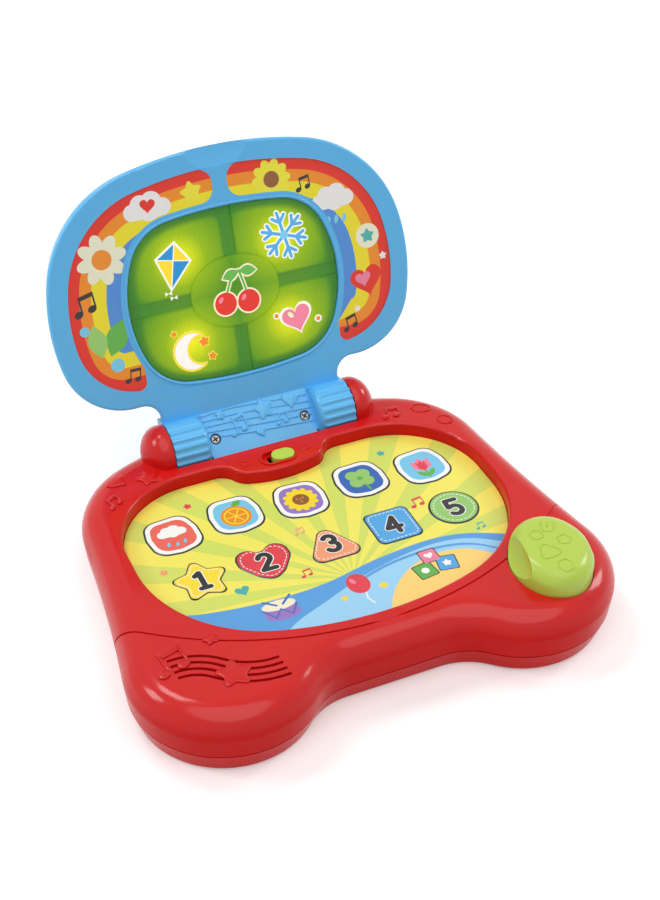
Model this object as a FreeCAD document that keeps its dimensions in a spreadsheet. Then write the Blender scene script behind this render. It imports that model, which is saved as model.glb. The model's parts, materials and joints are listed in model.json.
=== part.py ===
import FreeCAD, Part
import math
import operator
import os
from types import SimpleNamespace

import Sketcher
from FreeCAD import Placement, Rotation, Vector

# Toy laptop in millimetres: X to the right, Y to the back, Z up, table at Z = 0.
# Lid pieces are drawn flat (X right, Y up the lid, Z to the child) about the hinge axis and then leaned back.

driving_sizes = {
    # plan of the base: rear arc, corners, waist, front lobes, bay between the lobes
    "rear_reach": 98.8, "rear_radius": 188, "corner_across": 54.6, "corner_radius": 48,
    "waist_radius": 900, "lobe_across": 71.4, "lobe_setback": 56, "lobe_radius": 44,
    "bay_setback": 80.5, "bay_radius": 26,
    # heights of the base
    "seam_height": 12.4, "seam_groove": 0.8, "widest_height": 22, "deck_height": 35, "edge_round": 12,
    "side_draft": 6, "bottom_draft": 18, "bottom_round": 4, "wall": 2.5,
    # keypad recess
    "recess_half_width": 90, "recess_rear": 58.9, "recess_rear_radius": 43,
    "recess_side_radius": 62.5, "recess_front": 64, "recess_front_radius": 157,
    "recess_depth": 7, "rim_round": 1.5, "bulge_rear": 45.9, "bulge_radius": 57.5,
    "bulge_bend": 9.4, "bulge_bend_across": 31.8, "overlay_thickness": 0.6,
    "membrane_thickness": 0.9, "sheet_gap": 0.3, "scoop_setback": 72, "scoop_radius": 50, "scoop_half_width": 9,
    "palm_groove_offset": 6, "palm_groove_width": 1.0, "palm_groove_depth": 0.7,
    # speaker under the left palm rest
    "speaker_across": 80, "speaker_setback": 68, "speaker_radius": 16, "speaker_rim": 1.5,
    "speaker_height": 14, "magnet_radius": 8, "magnet_height": 6, "cone_thickness": 0.6,
    "grille_start_across": 97, "grille_start_setback": 56, "grille_heading": -20, "grille_bend": 25,
    "grille_chord": 23.5, "grille_pitch": 3.7, "grille_width": 1.5,
    # slider behind the keypad
    "slider_rear": 54.6, "knob_length": 11.5, "knob_width": 8, "knob_proud": 1.0, "knob_travel": 5,
    "dish_depth": 1.4, "dish_rim_width": 1.2, "dish_rim_height": 0.6, "stem_length": 5,
    "stem_width": 4.8, "slide_gap": 0.3, "knob_flange": 1.2, "switch_length": 14, "switch_width": 6,
    "switch_height": 5, "lever_size": 2.4,
    # mouse button on the right palm rest
    "mouse_across": 81.2, "mouse_setback": 67, "mouse_turn": -10, "mouse_half_width": 18.6,
    "mouse_half_length": 23, "mouse_end_radius": 16, "mouse_proud": 12, "mouse_round": 7.5,
    "mouse_wall": 2, "mouse_gap": 0.4, "mouse_flange": 1.6,
    "scoop_bite": 5.2, "far_scoop_bite": 2.2, "scoop_length": 50, "scoop_height": 14, "scoop_rise": 11.4,
    "dome_radius": 7, "dome_height": 8,
    "mouse_board_height": 14, "board_thickness": 1.6,
    # screws and bosses
    "screw_radius": 1.5, "screw_head_radius": 2.8, "screw_head_height": 2, "screw_length": 14,
    "screw_fit": 0.02, "boss_radius": 4.2, "counterbore_depth": 4,
    # batteries
    "cell_radius": 7.25, "cell_length": 50.5, "bay_clearance": 0.5, "spring_room": 4,
    "battery_setback": 12, "plate_thickness": 0.4, "plate_width": 9, "door_lip": 3, "door_gap": 0.3,
    # sound board
    "sound_board_width": 80, "sound_board_depth": 34, "sound_board_rear": 60,
    "sound_board_height": 10, "chip_size": 16, "chip_height": 2, "capacitor_radius": 3,
    "capacitor_height": 7,
    # hinge
    "hinge_rear": 79.6, "hinge_height": 35.5, "lid_angle": 72, "barrel_radius": 13.5,
    "barrel_gap": 0.8, "lug_face": 48, "lug_across": 50.5, "lug_radius": 13.7, "lug_foot_radius": 9,
    "lug_reach": 10.4, "lug_wall": 3.5, "pin_radius": 3, "pin_clearance": 0.05, "pin_inner": 38, "pin_outer": 52.4,
    "pin_bore_end": 58, "pin_hollow": 1.2, "ramp_tilt": 29.5, "ramp_distance": 3.6,
    "ramp_half_width": 28.6, "knuckle_round": 4, "flute_radius": 2.4, "flute_depth": 0.8, "flute_pitch": 18,
    "cover_screw_across": 23.8, "cover_screw_rise": 0.8, "cover_screw_recess": 1.8,
    "cover_screw_head": 2.5, "cover_screw_length": 13, "lead_radius": 0.8, "lead_bend": 4,
    # outline of the lid, measured up from the hinge axis
    "lid_reach": 141.6, "lid_top_radius": 208, "lid_corner_radius": 60.4, "lid_half_width": 93.1,
    "lid_side_radius": 94, "lid_side_centre": 70.3, "lid_lower_radius": 32.7,
    "lid_lower_centre": 55.7, "neck_half_width": 47.5, "neck_bend": 8,
    # thickness of the lid
    "lid_setback": 3.5, "front_shell_depth": 7, "back_shell_depth": 9, "lid_front_round": 1.4, "lid_draft": 18,
    "lid_back_round": 7.5, "lid_wall": 2.2, "notch_radius": 60, "notch_half_width": 17, "notch_offset": 4.2,
    "lid_boss_radius": 4,
    # picture panels and screen
    "bezel_width": 10.4, "field_depth": 0.5, "field_floor": 26.4, "field_floor_radius": 285, "field_bend": 30,
    "ring_width": 3.2, "bridge_width": 7.5, "panel_tip_across": 51, "panel_depth": 1.4,
    "panel_thickness": 0.8, "panel_end_round": 7, "panel_tip_round": 4,
    "screen_half_width": 54, "screen_half_height": 41.7, "screen_top_radius": 210,
    "screen_corner_radius": 25.5, "screen_side_radius": 62, "screen_centre": 70,
    "lens_thickness": 3, "lens_flange": 1.6, "lens_gap": 0.15, "lens_sink": 0.6,
    "lens_edge_round": 0.8, "channel_width": 6.6, "channel_depth": 0.7, "medallion_half_width": 22.5,
    "medallion_half_height": 17.2, "medallion_groove": 1.2, "diffuser_thickness": 0.5,
    "light_box_depth": 7, "light_box_wall": 1.5, "led_board_thickness": 1.2,
    "led_board_half_width": 46, "led_board_half_height": 34, "led_radius": 2.5, "led_height": 5.2,
    "led_across": 25, "led_rise": 19,
}

base_screw_spots = [(-75, 20), (75, 20), (-40, -67), (40, -67), (-72, 68), (72, 68)]
lid_screw_spots = [(-64, 112), (64, 112), (-76, 49), (76, 49)]
flute_count = 8
grille_count = 4

doc = FreeCAD.newDocument("toy_laptop")
sheet = doc.addObject("Spreadsheet::Sheet", "Sizes")
for row, (alias, number) in enumerate(driving_sizes.items(), start=1):
    sheet.set(f"A{row}", alias)
    sheet.set(f"B{row}", str(number))
    sheet.setAlias(f"B{row}", alias)
doc.recompute()

operations = {"+": operator.add, "-": operator.sub, "*": operator.mul, "/": operator.truediv}


class Dim:
    """A length or angle: its number, and the expression on the sheet that gives it."""

    def __init__(self, number, text):
        self.number = number
        self.text = text

    def __add__(self, other):
        return joined(self, "+", other)

    def __radd__(self, other):
        return joined(other, "+", self)

    def __sub__(self, other):
        return joined(self, "-", other)

    def __rsub__(self, other):
        return joined(other, "-", self)

    def __mul__(self, other):
        return joined(self, "*", other)

    def __rmul__(self, other):
        return joined(other, "*", self)

    def __truediv__(self, other):
        return joined(self, "/", other)

    def __neg__(self):
        return joined(0, "-", self)


def dim(value):
    return value if isinstance(value, Dim) else Dim(float(value), f"({float(value)})")


def joined(left, sign, right):
    left, right = dim(left), dim(right)
    return Dim(operations[sign](left.number, right.number), f"({left.text} {sign} {right.text})")


def tangent_of(angle):
    return Dim(math.tan(math.radians(angle.number)), f"tan({angle.text})")


def sine_of(angle):
    return Dim(math.sin(math.radians(angle.number)), f"sin({angle.text})")


def cosine_of(angle):
    return Dim(math.cos(math.radians(angle.number)), f"cos({angle.text})")


def smaller(first, second):
    return Dim(min(first.number, second.number), f"min({first.text}; {second.text})")


sz = SimpleNamespace(**{name: Dim(float(sheet.get(name)), f"Sizes.{name}") for name in driving_sizes})


def bind(item, prop, value):
    """Give a property its number and tie it to the sheet."""
    value = dim(value)
    if "." not in prop:
        setattr(item, prop, value.number)
    if "Sizes." in value.text:
        item.setExpression(prop, value.text)


def place(item, x=0, y=0, z=0, axis=None, angle=0):
    """Put an item at a spot, turned about an axis through its own origin."""
    x, y, z, angle = dim(x), dim(y), dim(z), dim(angle)
    turn = Rotation(Vector(*axis), angle.number) if axis else Rotation()
    item.Placement = Placement(Vector(x.number, y.number, z.number), turn)
    for letter, value in (("x", x), ("y", y), ("z", z)):
        bind(item, f"Placement.Base.{letter}", value)
    if axis and "Sizes." in angle.text:
        item.setExpression("Placement.Rotation.Angle", angle.text)
    return item


# Plain solids and booleans

def box(name, low, high):
    item = doc.addObject("Part::Box", name)
    for prop, start, end in zip(("Length", "Width", "Height"), low, high):
        bind(item, prop, dim(end) - start)
    return place(item, *low)


def upright(name, spot, low, high, radius):
    """Cylinder along Z between two heights."""
    item = doc.addObject("Part::Cylinder", name)
    bind(item, "Radius", radius)
    bind(item, "Height", dim(high) - low)
    return place(item, spot[0], spot[1], low)


def lengthwise(name, start, end, y, z, radius):
    """Cylinder along X between two places."""
    item = doc.addObject("Part::Cylinder", name)
    bind(item, "Radius", radius)
    bind(item, "Height", dim(end) - start)
    return place(item, start, y, z, (0, 1, 0), 90)


def ball(name, spot, radius):
    item = doc.addObject("Part::Sphere", name)
    bind(item, "Radius", radius)
    return place(item, *spot)


def fused(name, items):
    if len(items) == 1:
        return items[0]
    item = doc.addObject("Part::MultiFuse", name)
    item.Shapes = items
    return item


def grouped(name, items):
    item = doc.addObject("Part::Compound", name)
    item.Links = items
    return item


def cut(name, base, tools):
    item = doc.addObject("Part::Cut", name)
    item.Base = base
    item.Tool = fused(f"{name}_tools", tools)
    return item


def shared(name, first, second):
    item = doc.addObject("Part::Common", name)
    item.Base = first
    item.Tool = second
    return item


def stadium(name, spot, low, high, length, width):
    """Slot form with round ends, lying along X."""
    x, y = dim(spot[0]), dim(spot[1])
    half = (dim(length) - width) / 2
    radius = dim(width) / 2
    middle = box(f"{name}_middle", (x - half, y - radius, low), (x + half, y + radius, high))
    ends = [upright(f"{name}_end", (x + way * half, y), low, high, radius) for way in (-1, 1)]
    return fused(name, [middle] + ends)


# Sketched outlines

def oval_prism(name, spot, low, high, long_half, short_half, turn=0):
    """Upright prism over an ellipse, whose long axis is turned away from X."""
    ring = doc.addObject("Part::Ellipse", f"{name}_ring")
    bind(ring, "MajorRadius", long_half)
    bind(ring, "MinorRadius", short_half)
    place(ring, spot[0], spot[1], low, (0, 0, 1), turn)
    prism = doc.addObject("Part::Extrusion", name)
    prism.Base = ring
    prism.DirMode = "Custom"
    prism.Dir = Vector(0, 0, 1)
    bind(prism, "LengthFwd", dim(high) - low)
    prism.Solid = True
    return prism


def touch(first, first_radius, second, second_radius):
    """Point where two tangent circles touch, inside or outside each other."""
    way = Vector(*second, 0) - Vector(*first, 0)
    apart = way.Length
    way.normalize()
    outside = abs(apart - first_radius - second_radius) < abs(apart - abs(first_radius - second_radius))
    sign = 1 if outside or first_radius > second_radius else -1
    spot = Vector(*first, 0) + way * (sign * first_radius)
    return (spot.x, spot.y)


def meet(first, first_radius, second, second_radius):
    """Right-hand crossing of two circles."""
    way = Vector(*second, 0) - Vector(*first, 0)
    apart = way.Length
    along = (apart ** 2 + first_radius ** 2 - second_radius ** 2) / (2 * apart)
    aside = math.sqrt(first_radius ** 2 - along ** 2)
    way.normalize()
    normal = Vector(-way.y, way.x, 0)
    spots = [Vector(*first, 0) + way * along + normal * (sign * aside) for sign in (-1, 1)]
    best = max(spots, key=lambda spot: spot.x)
    return (best.x, best.y)


def plane_of(body, role):
    return next(item for item in body.Origin.OriginFeatures if item.Role == role)


class Outline:
    """Closed sketch, mirrored about the Y axis, from stretches that run clockwise down its right half."""

    def __init__(self, body, name, level):
        level = dim(level)
        self.sketch = body.newObject("Sketcher::SketchObject", name)
        self.sketch.AttachmentSupport = [(plane_of(body, "XY_Plane"), "")]
        self.sketch.MapMode = "FlatFace"
        self.sketch.AttachmentOffset = Placement(Vector(0, 0, level.number), Rotation())
        bind(self.sketch, "AttachmentOffset.Base.z", level)
        self.ends = []
        self.count = 0

    def rule(self, *details):
        return self.sketch.addConstraint(Sketcher.Constraint(*details))

    def fix(self, kind, details, value):
        """A measured constraint, tied to the sheet."""
        value = dim(value)
        if kind != "Radius" and value.number < 0:
            details, value = details[2:] + details[:2], -value
        index = self.rule(kind, *details, value.number)
        self.count += 1
        label = f"size_{self.count}"
        self.sketch.renameConstraint(index, label)
        if "Sizes." in value.text:
            self.sketch.setExpression(f"Constraints.{label}", value.text)

    def draw(self, stretches, points):
        """Stretches are None for a line, or (centre, clockwise) for an arc between two points."""
        halves = []
        for stretch, start, end in zip(stretches, points, points[1:]):
            halves.append((stretch, start, end))
            if stretch is None:
                self.sketch.addGeometry(Part.LineSegment(Vector(*start, 0), Vector(*end, 0)))
                self.ends.append((1, 2))
                continue
            centre, clockwise = stretch
            self.sketch.addGeometry(arc_between(centre, start, end, clockwise))
            self.ends.append((2, 1) if clockwise else (1, 2))
        for index, (stretch, start, end) in enumerate(halves):
            start, end = (-start[0], start[1]), (-end[0], end[1])
            if stretch is None:
                self.sketch.addGeometry(Part.LineSegment(Vector(*start, 0), Vector(*end, 0)))
            else:
                centre, clockwise = stretch
                self.sketch.addGeometry(arc_between((-centre[0], centre[1]), start, end, not clockwise))
        total = len(halves)
        for index in range(total - 1):
            kind = "Coincident" if points[index + 1] in self.corners else "Tangent"
            self.rule(kind, index, self.ends[index][1], index + 1, self.ends[index + 1][0])
        self.rule("PointOnObject", 0, self.ends[0][0], -2)
        self.rule("PointOnObject", total - 1, self.ends[-1][1], -2)
        middle = {(0, self.ends[0][0]), (total - 1, self.ends[-1][1])}
        for index, (stretch, start, end) in enumerate(halves):
            for pos in (1, 2):
                other = pos if stretch is None else 3 - pos
                if (index, pos) in middle:
                    self.rule("Coincident", index, pos, total + index, other)
                else:
                    self.rule("Symmetric", index, pos, total + index, other, -2)
            if stretch is not None:
                self.rule("Equal", index, total + index)

    corners = ()

    def radius(self, index, value):
        self.fix("Radius", (index,), value)

    def across(self, index, pos, value):
        self.fix("DistanceX", (-1, 1, index, pos), value)

    def along(self, index, pos, value):
        self.fix("DistanceY", (-1, 1, index, pos), value)

    def on_axis(self, index):
        self.rule("PointOnObject", index, 3, -2)

    def start_along(self, index, value):
        self.along(index, self.ends[index][0], value)

    def end_along(self, index, value):
        self.along(index, self.ends[index][1], value)


def arc_between(centre, start, end, clockwise):
    if clockwise:
        start, end = end, start
    radius = math.hypot(start[0] - centre[0], start[1] - centre[1])
    first = math.atan2(start[1] - centre[1], start[0] - centre[0])
    last = math.atan2(end[1] - centre[1], end[0] - centre[0])
    if last <= first:
        last += 2 * math.pi
    circle = Part.Circle(Vector(*centre, 0), Vector(0, 0, 1), radius)
    return Part.ArcOfCircle(circle, first, last)


def base_outline(body, name, level, inset):
    """Plan of the base at its widest, drawn in by an inset."""
    inset = dim(inset)
    rear = (0, sz.rear_reach.number - sz.rear_radius.number)
    swing = sz.rear_radius.number - sz.corner_radius.number
    corner = (sz.corner_across.number, rear[1] + math.sqrt(swing ** 2 - sz.corner_across.number ** 2))
    lobe = (sz.lobe_across.number, -sz.lobe_setback.number)
    waist = meet(corner, sz.corner_radius.number + sz.waist_radius.number,
                 lobe, sz.lobe_radius.number + sz.waist_radius.number)
    reach = sz.lobe_radius.number + sz.bay_radius.number
    bay_y = -sz.bay_setback.number - sz.bay_radius.number
    bay = (lobe[0] - math.sqrt(reach ** 2 - (lobe[1] - bay_y) ** 2), bay_y)
    radii = [sz.rear_radius - inset, sz.corner_radius - inset, sz.waist_radius + inset,
             sz.lobe_radius - inset, sz.bay_radius + inset]
    centres = [rear, corner, waist, lobe, bay]
    front = -sz.bay_setback.number + inset.number
    points = [(0, sz.rear_reach.number - inset.number)]
    for index in range(len(centres) - 1):
        points.append(touch(centres[index], radii[index].number, centres[index + 1], radii[index + 1].number))
    points += [(bay[0], front), (0, front)]
    outline = Outline(body, name, level)
    turns = [True, True, False, True, False]
    outline.draw([(centre, turn) for centre, turn in zip(centres, turns)] + [None], points)
    for index, value in enumerate(radii):
        outline.radius(index, value)
    outline.on_axis(0)
    outline.start_along(0, sz.rear_reach - inset)
    outline.across(1, 3, sz.corner_across)
    outline.across(3, 3, sz.lobe_across)
    outline.along(3, 3, -sz.lobe_setback)
    outline.rule("Horizontal", 5)
    outline.end_along(5, inset - sz.bay_setback)
    return outline.sketch


def recess_outline(body, name, level, grow):
    """Plan of the keypad recess with the slider's bulge at its rear, enlarged by grow."""
    grow = dim(grow)
    bulge = (0, sz.bulge_rear.number + sz.bulge_radius.number)
    bend = sz.bulge_bend.number
    inner = (sz.bulge_bend_across.number, sz.recess_rear.number - bend)
    outer = inner_deck_bend(bulge, sz.bulge_radius.number - bend, inner, 2 * bend)
    side = sz.recess_half_width.number
    rear = (side - sz.recess_rear_radius.number, sz.recess_rear.number - sz.recess_rear_radius.number)
    front = (0, sz.recess_front_radius.number - sz.recess_front.number)
    swing = sz.recess_front_radius.number - sz.recess_side_radius.number
    lower_x = side - sz.recess_side_radius.number
    lower = (lower_x, front[1] - math.sqrt(swing ** 2 - lower_x ** 2))
    g = grow.number
    points = [(0, sz.bulge_rear.number + g),
              touch(bulge, sz.bulge_radius.number - g, outer, bend - g),
              touch(outer, bend - g, inner, bend + g),
              (inner[0], sz.recess_rear.number + g),
              (rear[0], sz.recess_rear.number + g),
              (side + g, rear[1]),
              (side + g, lower[1]),
              touch(lower, sz.recess_side_radius.number + g, front, sz.recess_front_radius.number + g),
              (0, -sz.recess_front.number - g)]
    outline = Outline(body, name, level)
    outline.draw([(bulge, False), (outer, False), (inner, True), None, (rear, True), None,
                  (lower, True), (front, True)], points)
    outline.radius(0, sz.bulge_radius - grow)
    outline.radius(1, sz.bulge_bend - grow)
    outline.radius(2, sz.bulge_bend + grow)
    outline.radius(4, sz.recess_rear_radius + grow)
    outline.radius(6, sz.recess_side_radius + grow)
    outline.radius(7, sz.recess_front_radius + grow)
    outline.on_axis(0)
    outline.start_along(0, sz.bulge_rear + grow)
    outline.across(2, 3, sz.bulge_bend_across)
    outline.rule("Horizontal", 3)
    outline.start_along(3, sz.recess_rear + grow)
    outline.rule("Vertical", 5)
    outline.across(5, 1, sz.recess_half_width + grow)
    outline.on_axis(7)
    outline.end_along(7, -sz.recess_front - grow)
    return outline.sketch


def inner_deck_bend(bulge, bulge_reach, inner, between):
    """Centre of the bulge's rounded corner: on the bulge's side and touching the inner bend."""
    way = Vector(*inner, 0) - Vector(*bulge, 0)
    apart = way.Length
    along = (apart ** 2 + bulge_reach ** 2 - between ** 2) / (2 * apart)
    aside = math.sqrt(bulge_reach ** 2 - along ** 2)
    way.normalize()
    spot = Vector(*bulge, 0) + way * along + Vector(way.y, -way.x, 0) * aside
    return (spot.x, spot.y)


def lid_centres():
    top = (0, sz.lid_reach.number - sz.lid_top_radius.number)
    side = (sz.lid_half_width.number - sz.lid_side_radius.number, sz.lid_side_centre.number)
    corner = meet(top, sz.lid_top_radius.number - sz.lid_corner_radius.number,
                  side, sz.lid_side_radius.number - sz.lid_corner_radius.number)
    swing = sz.lid_side_radius.number - sz.lid_lower_radius.number
    drop = side[1] - sz.lid_lower_centre.number
    lower = (side[0] + math.sqrt(swing ** 2 - drop ** 2), sz.lid_lower_centre.number)
    reach = sz.lid_lower_radius.number + sz.neck_bend.number
    neck_x = sz.neck_half_width.number + sz.neck_bend.number
    neck = (neck_x, lower[1] - math.sqrt(reach ** 2 - (neck_x - lower[0]) ** 2))
    return top, corner, side, lower, neck


def lid_outline(body, name, level, inset, foot):
    """Lid seen from the front, down to a straight foot across its neck."""
    inset, foot = dim(inset), dim(foot)
    top, corner, side, lower, neck = centres = lid_centres()
    radii = [sz.lid_top_radius - inset, sz.lid_corner_radius - inset, sz.lid_side_radius - inset,
             sz.lid_lower_radius - inset, sz.neck_bend + inset]
    points = [(0, sz.lid_reach.number - inset.number)]
    for index in range(len(centres) - 1):
        points.append(touch(centres[index], radii[index].number, centres[index + 1], radii[index + 1].number))
    neck_x = sz.neck_half_width.number - inset.number
    points += [(neck_x, neck[1]), (neck_x, foot.number), (0, foot.number)]
    outline = Outline(body, name, level)
    outline.corners = (points[-2],)
    turns = [True, True, True, True, False]
    outline.draw([(centre, turn) for centre, turn in zip(centres, turns)] + [None, None], points)
    for index, value in enumerate(radii):
        outline.radius(index, value)
    outline.on_axis(0)
    outline.start_along(0, sz.lid_reach - inset)
    outline.across(2, 3, sz.lid_half_width - sz.lid_side_radius)
    outline.along(2, 3, sz.lid_side_centre)
    outline.along(3, 3, sz.lid_lower_centre)
    outline.rule("Vertical", 5)
    outline.across(5, 1, sz.neck_half_width - inset)
    outline.rule("Horizontal", 6)
    outline.end_along(6, foot)
    return outline.sketch


def field_outline(body, name, level):
    """Field inside the bezel, closed below by a shallow arc."""
    top, corner, side, lower, neck = lid_centres()
    inset = sz.bezel_width
    floor = (0, sz.field_floor.number + sz.field_floor_radius.number)
    radii = [sz.lid_top_radius - inset, sz.lid_corner_radius - inset, sz.lid_side_radius - inset,
             sz.field_bend, sz.field_floor_radius]
    bend = meet(side, radii[2].number - radii[3].number, floor, radii[4].number - radii[3].number)
    centres = [top, corner, side, bend, floor]
    points = [(0, sz.lid_reach.number - inset.number)]
    for index in range(len(centres) - 1):
        points.append(touch(centres[index], radii[index].number, centres[index + 1], radii[index + 1].number))
    points.append((0, sz.field_floor.number))
    outline = Outline(body, name, level)
    outline.draw([(centre, True) for centre in centres], points)
    for index, value in enumerate(radii):
        outline.radius(index, value)
    outline.on_axis(0)
    outline.start_along(0, sz.lid_reach - inset)
    outline.across(2, 3, sz.lid_half_width - sz.lid_side_radius)
    outline.along(2, 3, sz.lid_side_centre)
    outline.on_axis(4)
    outline.end_along(4, sz.field_floor)
    return outline.sketch


def screen_outline(body, name, level, grow):
    """Rounded screen window, enlarged by grow."""
    grow = dim(grow)
    middle, half_height = sz.screen_centre.number, sz.screen_half_height.number
    top = (0, middle + half_height - sz.screen_top_radius.number)
    bottom = (0, middle - half_height + sz.screen_top_radius.number)
    side = (sz.screen_half_width.number - sz.screen_side_radius.number, middle)
    top_swing = sz.screen_top_radius.number - sz.screen_corner_radius.number
    side_swing = sz.screen_side_radius.number - sz.screen_corner_radius.number
    upper = meet(top, top_swing, side, side_swing)
    lower = meet(bottom, top_swing, side, side_swing)
    centres = [top, upper, side, lower, bottom]
    radii = [sz.screen_top_radius + grow, sz.screen_corner_radius + grow, sz.screen_side_radius + grow,
             sz.screen_corner_radius + grow, sz.screen_top_radius + grow]
    points = [(0, middle + half_height + grow.number)]
    for index in range(len(centres) - 1):
        points.append(touch(centres[index], radii[index].number, centres[index + 1], radii[index + 1].number))
    points.append((0, middle - half_height - grow.number))
    outline = Outline(body, name, level)
    outline.draw([(centre, True) for centre in centres], points)
    for index, value in enumerate(radii):
        outline.radius(index, value)
    outline.on_axis(0)
    outline.on_axis(4)
    outline.start_along(0, sz.screen_centre + sz.screen_half_height + grow)
    outline.end_along(4, sz.screen_centre - sz.screen_half_height - grow)
    outline.across(2, 3, sz.screen_half_width - sz.screen_side_radius)
    outline.along(2, 3, sz.screen_centre)
    return outline.sketch


def mouse_outline(body, name, level, grow):
    """Egg of the mouse button about its own middle."""
    grow = dim(grow)
    width, reach, end = sz.mouse_half_width, sz.mouse_half_length, sz.mouse_end_radius
    flank = (width * width + (reach - end) * (reach - end) - end * end) / (2 * (width - end))
    centres = [(0, (reach - end).number), ((width - flank).number, 0), (0, -(reach - end).number)]
    radii = [end + grow, flank + grow, end + grow]
    points = [(0, (reach + grow).number),
              touch(centres[0], radii[0].number, centres[1], radii[1].number),
              touch(centres[2], radii[2].number, centres[1], radii[1].number),
              (0, -(reach + grow).number)]
    outline = Outline(body, name, level)
    outline.draw([(centre, True) for centre in centres], points)
    outline.radius(0, radii[0])
    outline.radius(2, radii[2])
    outline.on_axis(0)
    outline.on_axis(2)
    outline.start_along(0, reach + grow)
    outline.end_along(2, -reach - grow)
    outline.across(1, 3, width - flank)
    return outline.sketch


# Features of a body

def new_body(name):
    return doc.addObject("PartDesign::Body", name)


def settle(feature):
    """Recompute, and stop at the first feature that fails."""
    doc.recompute()
    if {"Invalid", "Error"} & set(feature.State) or feature.Shape.isNull():
        raise RuntimeError(f"{feature.Name}: {feature.getStatusString()}")
    return feature


def pad(body, sketch, length, down=False, draft=None):
    feature = body.newObject("PartDesign::Pad", f"{body.Name}_pad")
    feature.Profile = sketch
    bind(feature, "Length", length)
    feature.Reversed = down
    if draft is not None:
        bind(feature, "TaperAngle", -draft)
    return settle(feature)


def taper(body, first, second):
    """Straight-sided solid between two outlines."""
    feature = body.newObject("PartDesign::AdditiveLoft", f"{body.Name}_taper")
    feature.Profile = first
    feature.Sections = [second]
    feature.Ruled = True
    return settle(feature)


def pocket(body, sketch, length):
    """Cut below the sketch, and make sure that it took something away."""
    before = body.Shape.Volume
    feature = body.newObject("PartDesign::Pocket", f"{body.Name}_pocket")
    feature.Profile = sketch
    bind(feature, "Length", length)
    settle(feature)
    if body.Shape.Volume >= before:
        raise RuntimeError(f"{feature.Name} cuts nothing")
    return feature


def level_edges(shape, height):
    """Names of the edges that lie flat at a height."""
    return [f"Edge{index}" for index, edge in enumerate(shape.Edges, start=1)
            if abs(edge.BoundBox.ZMin - height) < 1e-4 and abs(edge.BoundBox.ZMax - height) < 1e-4]


def round_edges(body, feature, names, radius):
    rounding = body.newObject("PartDesign::Fillet", f"{body.Name}_round")
    rounding.Base = (feature, names)
    bind(rounding, "Radius", radius)
    return settle(rounding)


def plate(name, outline, low, high, *details):
    """Body that pads one outline between two heights."""
    body = new_body(name)
    pad(body, outline(body, f"{name}_outline", low, *details), dim(high) - low)
    return body


def turned(name, profile):
    """Body turned about Z from a closed profile of (radius, height) corners."""
    body = new_body(name)
    sketch = body.newObject("Sketcher::SketchObject", f"{name}_profile")
    sketch.AttachmentSupport = [(plane_of(body, "XZ_Plane"), "")]
    sketch.MapMode = "FlatFace"
    profile = [(dim(radius), dim(height)) for radius, height in profile]
    total = len(profile)
    for index, (radius, height) in enumerate(profile):
        after = profile[(index + 1) % total]
        sketch.addGeometry(Part.LineSegment(Vector(radius.number, height.number, 0),
                                            Vector(after[0].number, after[1].number, 0)))
    for index in range(total):
        sketch.addConstraint(Sketcher.Constraint("Coincident", index, 2, (index + 1) % total, 1))
    for index, corner in enumerate(profile):
        for kind, value, axis in (("DistanceX", corner[0], -2), ("DistanceY", corner[1], -1)):
            if value.number == 0:
                sketch.addConstraint(Sketcher.Constraint("PointOnObject", index, 1, axis))
                continue
            rule = sketch.addConstraint(Sketcher.Constraint(kind, -1, 1, index, 1, value.number))
            label = f"corner_{index}_{kind}"
            sketch.renameConstraint(rule, label)
            if "Sizes." in value.text:
                sketch.setExpression(f"Constraints.{label}", value.text)
    turn = body.newObject("PartDesign::Revolution", f"{name}_turn")
    turn.Profile = sketch
    turn.ReferenceAxis = (sketch, ["V_Axis"])
    turn.Angle = 360
    settle(turn)
    return body


nodes = {}


def keep(label, item):
    item.Label = label
    nodes[label] = item
    return item


def keep_on_lid(label, item):
    """Lean a lid piece back about the hinge axis."""
    place(item, 0, sz.hinge_rear, sz.hinge_height, (1, 0, 0), sz.lid_angle)
    return keep(label, item)


# Heights that several pieces share
overlay_top = sz.deck_height - sz.recess_depth
membrane_top = overlay_top - sz.overlay_thickness
tray_floor = membrane_top - sz.membrane_thickness
tray_under = tray_floor - sz.wall
deck_under = sz.deck_height - sz.wall
seam_inset = (sz.widest_height - sz.seam_height) * tangent_of(sz.side_draft)
beyond = 30


# Base

def rounded_block(name, inset, top, foot):
    """Upper half of the base, drawn in by an inset, with its soft top edge."""
    inset = dim(inset)
    body = new_body(name)
    sketch = base_outline(body, f"{name}_outline", sz.widest_height, inset)
    pad(body, sketch, dim(top) - sz.widest_height)
    lower = pad(body, sketch, sz.widest_height - foot, down=True, draft=sz.side_draft)
    room = dim(top) - sz.widest_height - 0.3
    rounding = smaller(sz.edge_round - inset, room)
    return body, round_edges(body, lower, level_edges(body.Shape, dim(top).number), rounding)


def recess_pocket(body):
    """Keypad recess with a soft rim."""
    before = {edge.CenterOfMass.Length for edge in body.Shape.Edges}
    sketch = recess_outline(body, "recess_outline", sz.deck_height, 0)
    feature = pocket(body, sketch, sz.deck_height - tray_floor)
    rim = [name for name in level_edges(body.Shape, sz.deck_height.number)
           if min(abs(body.Shape.getElement(name).CenterOfMass.Length - old) for old in before) > 1e-5]
    round_edges(body, feature, rim, sz.rim_round)


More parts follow.
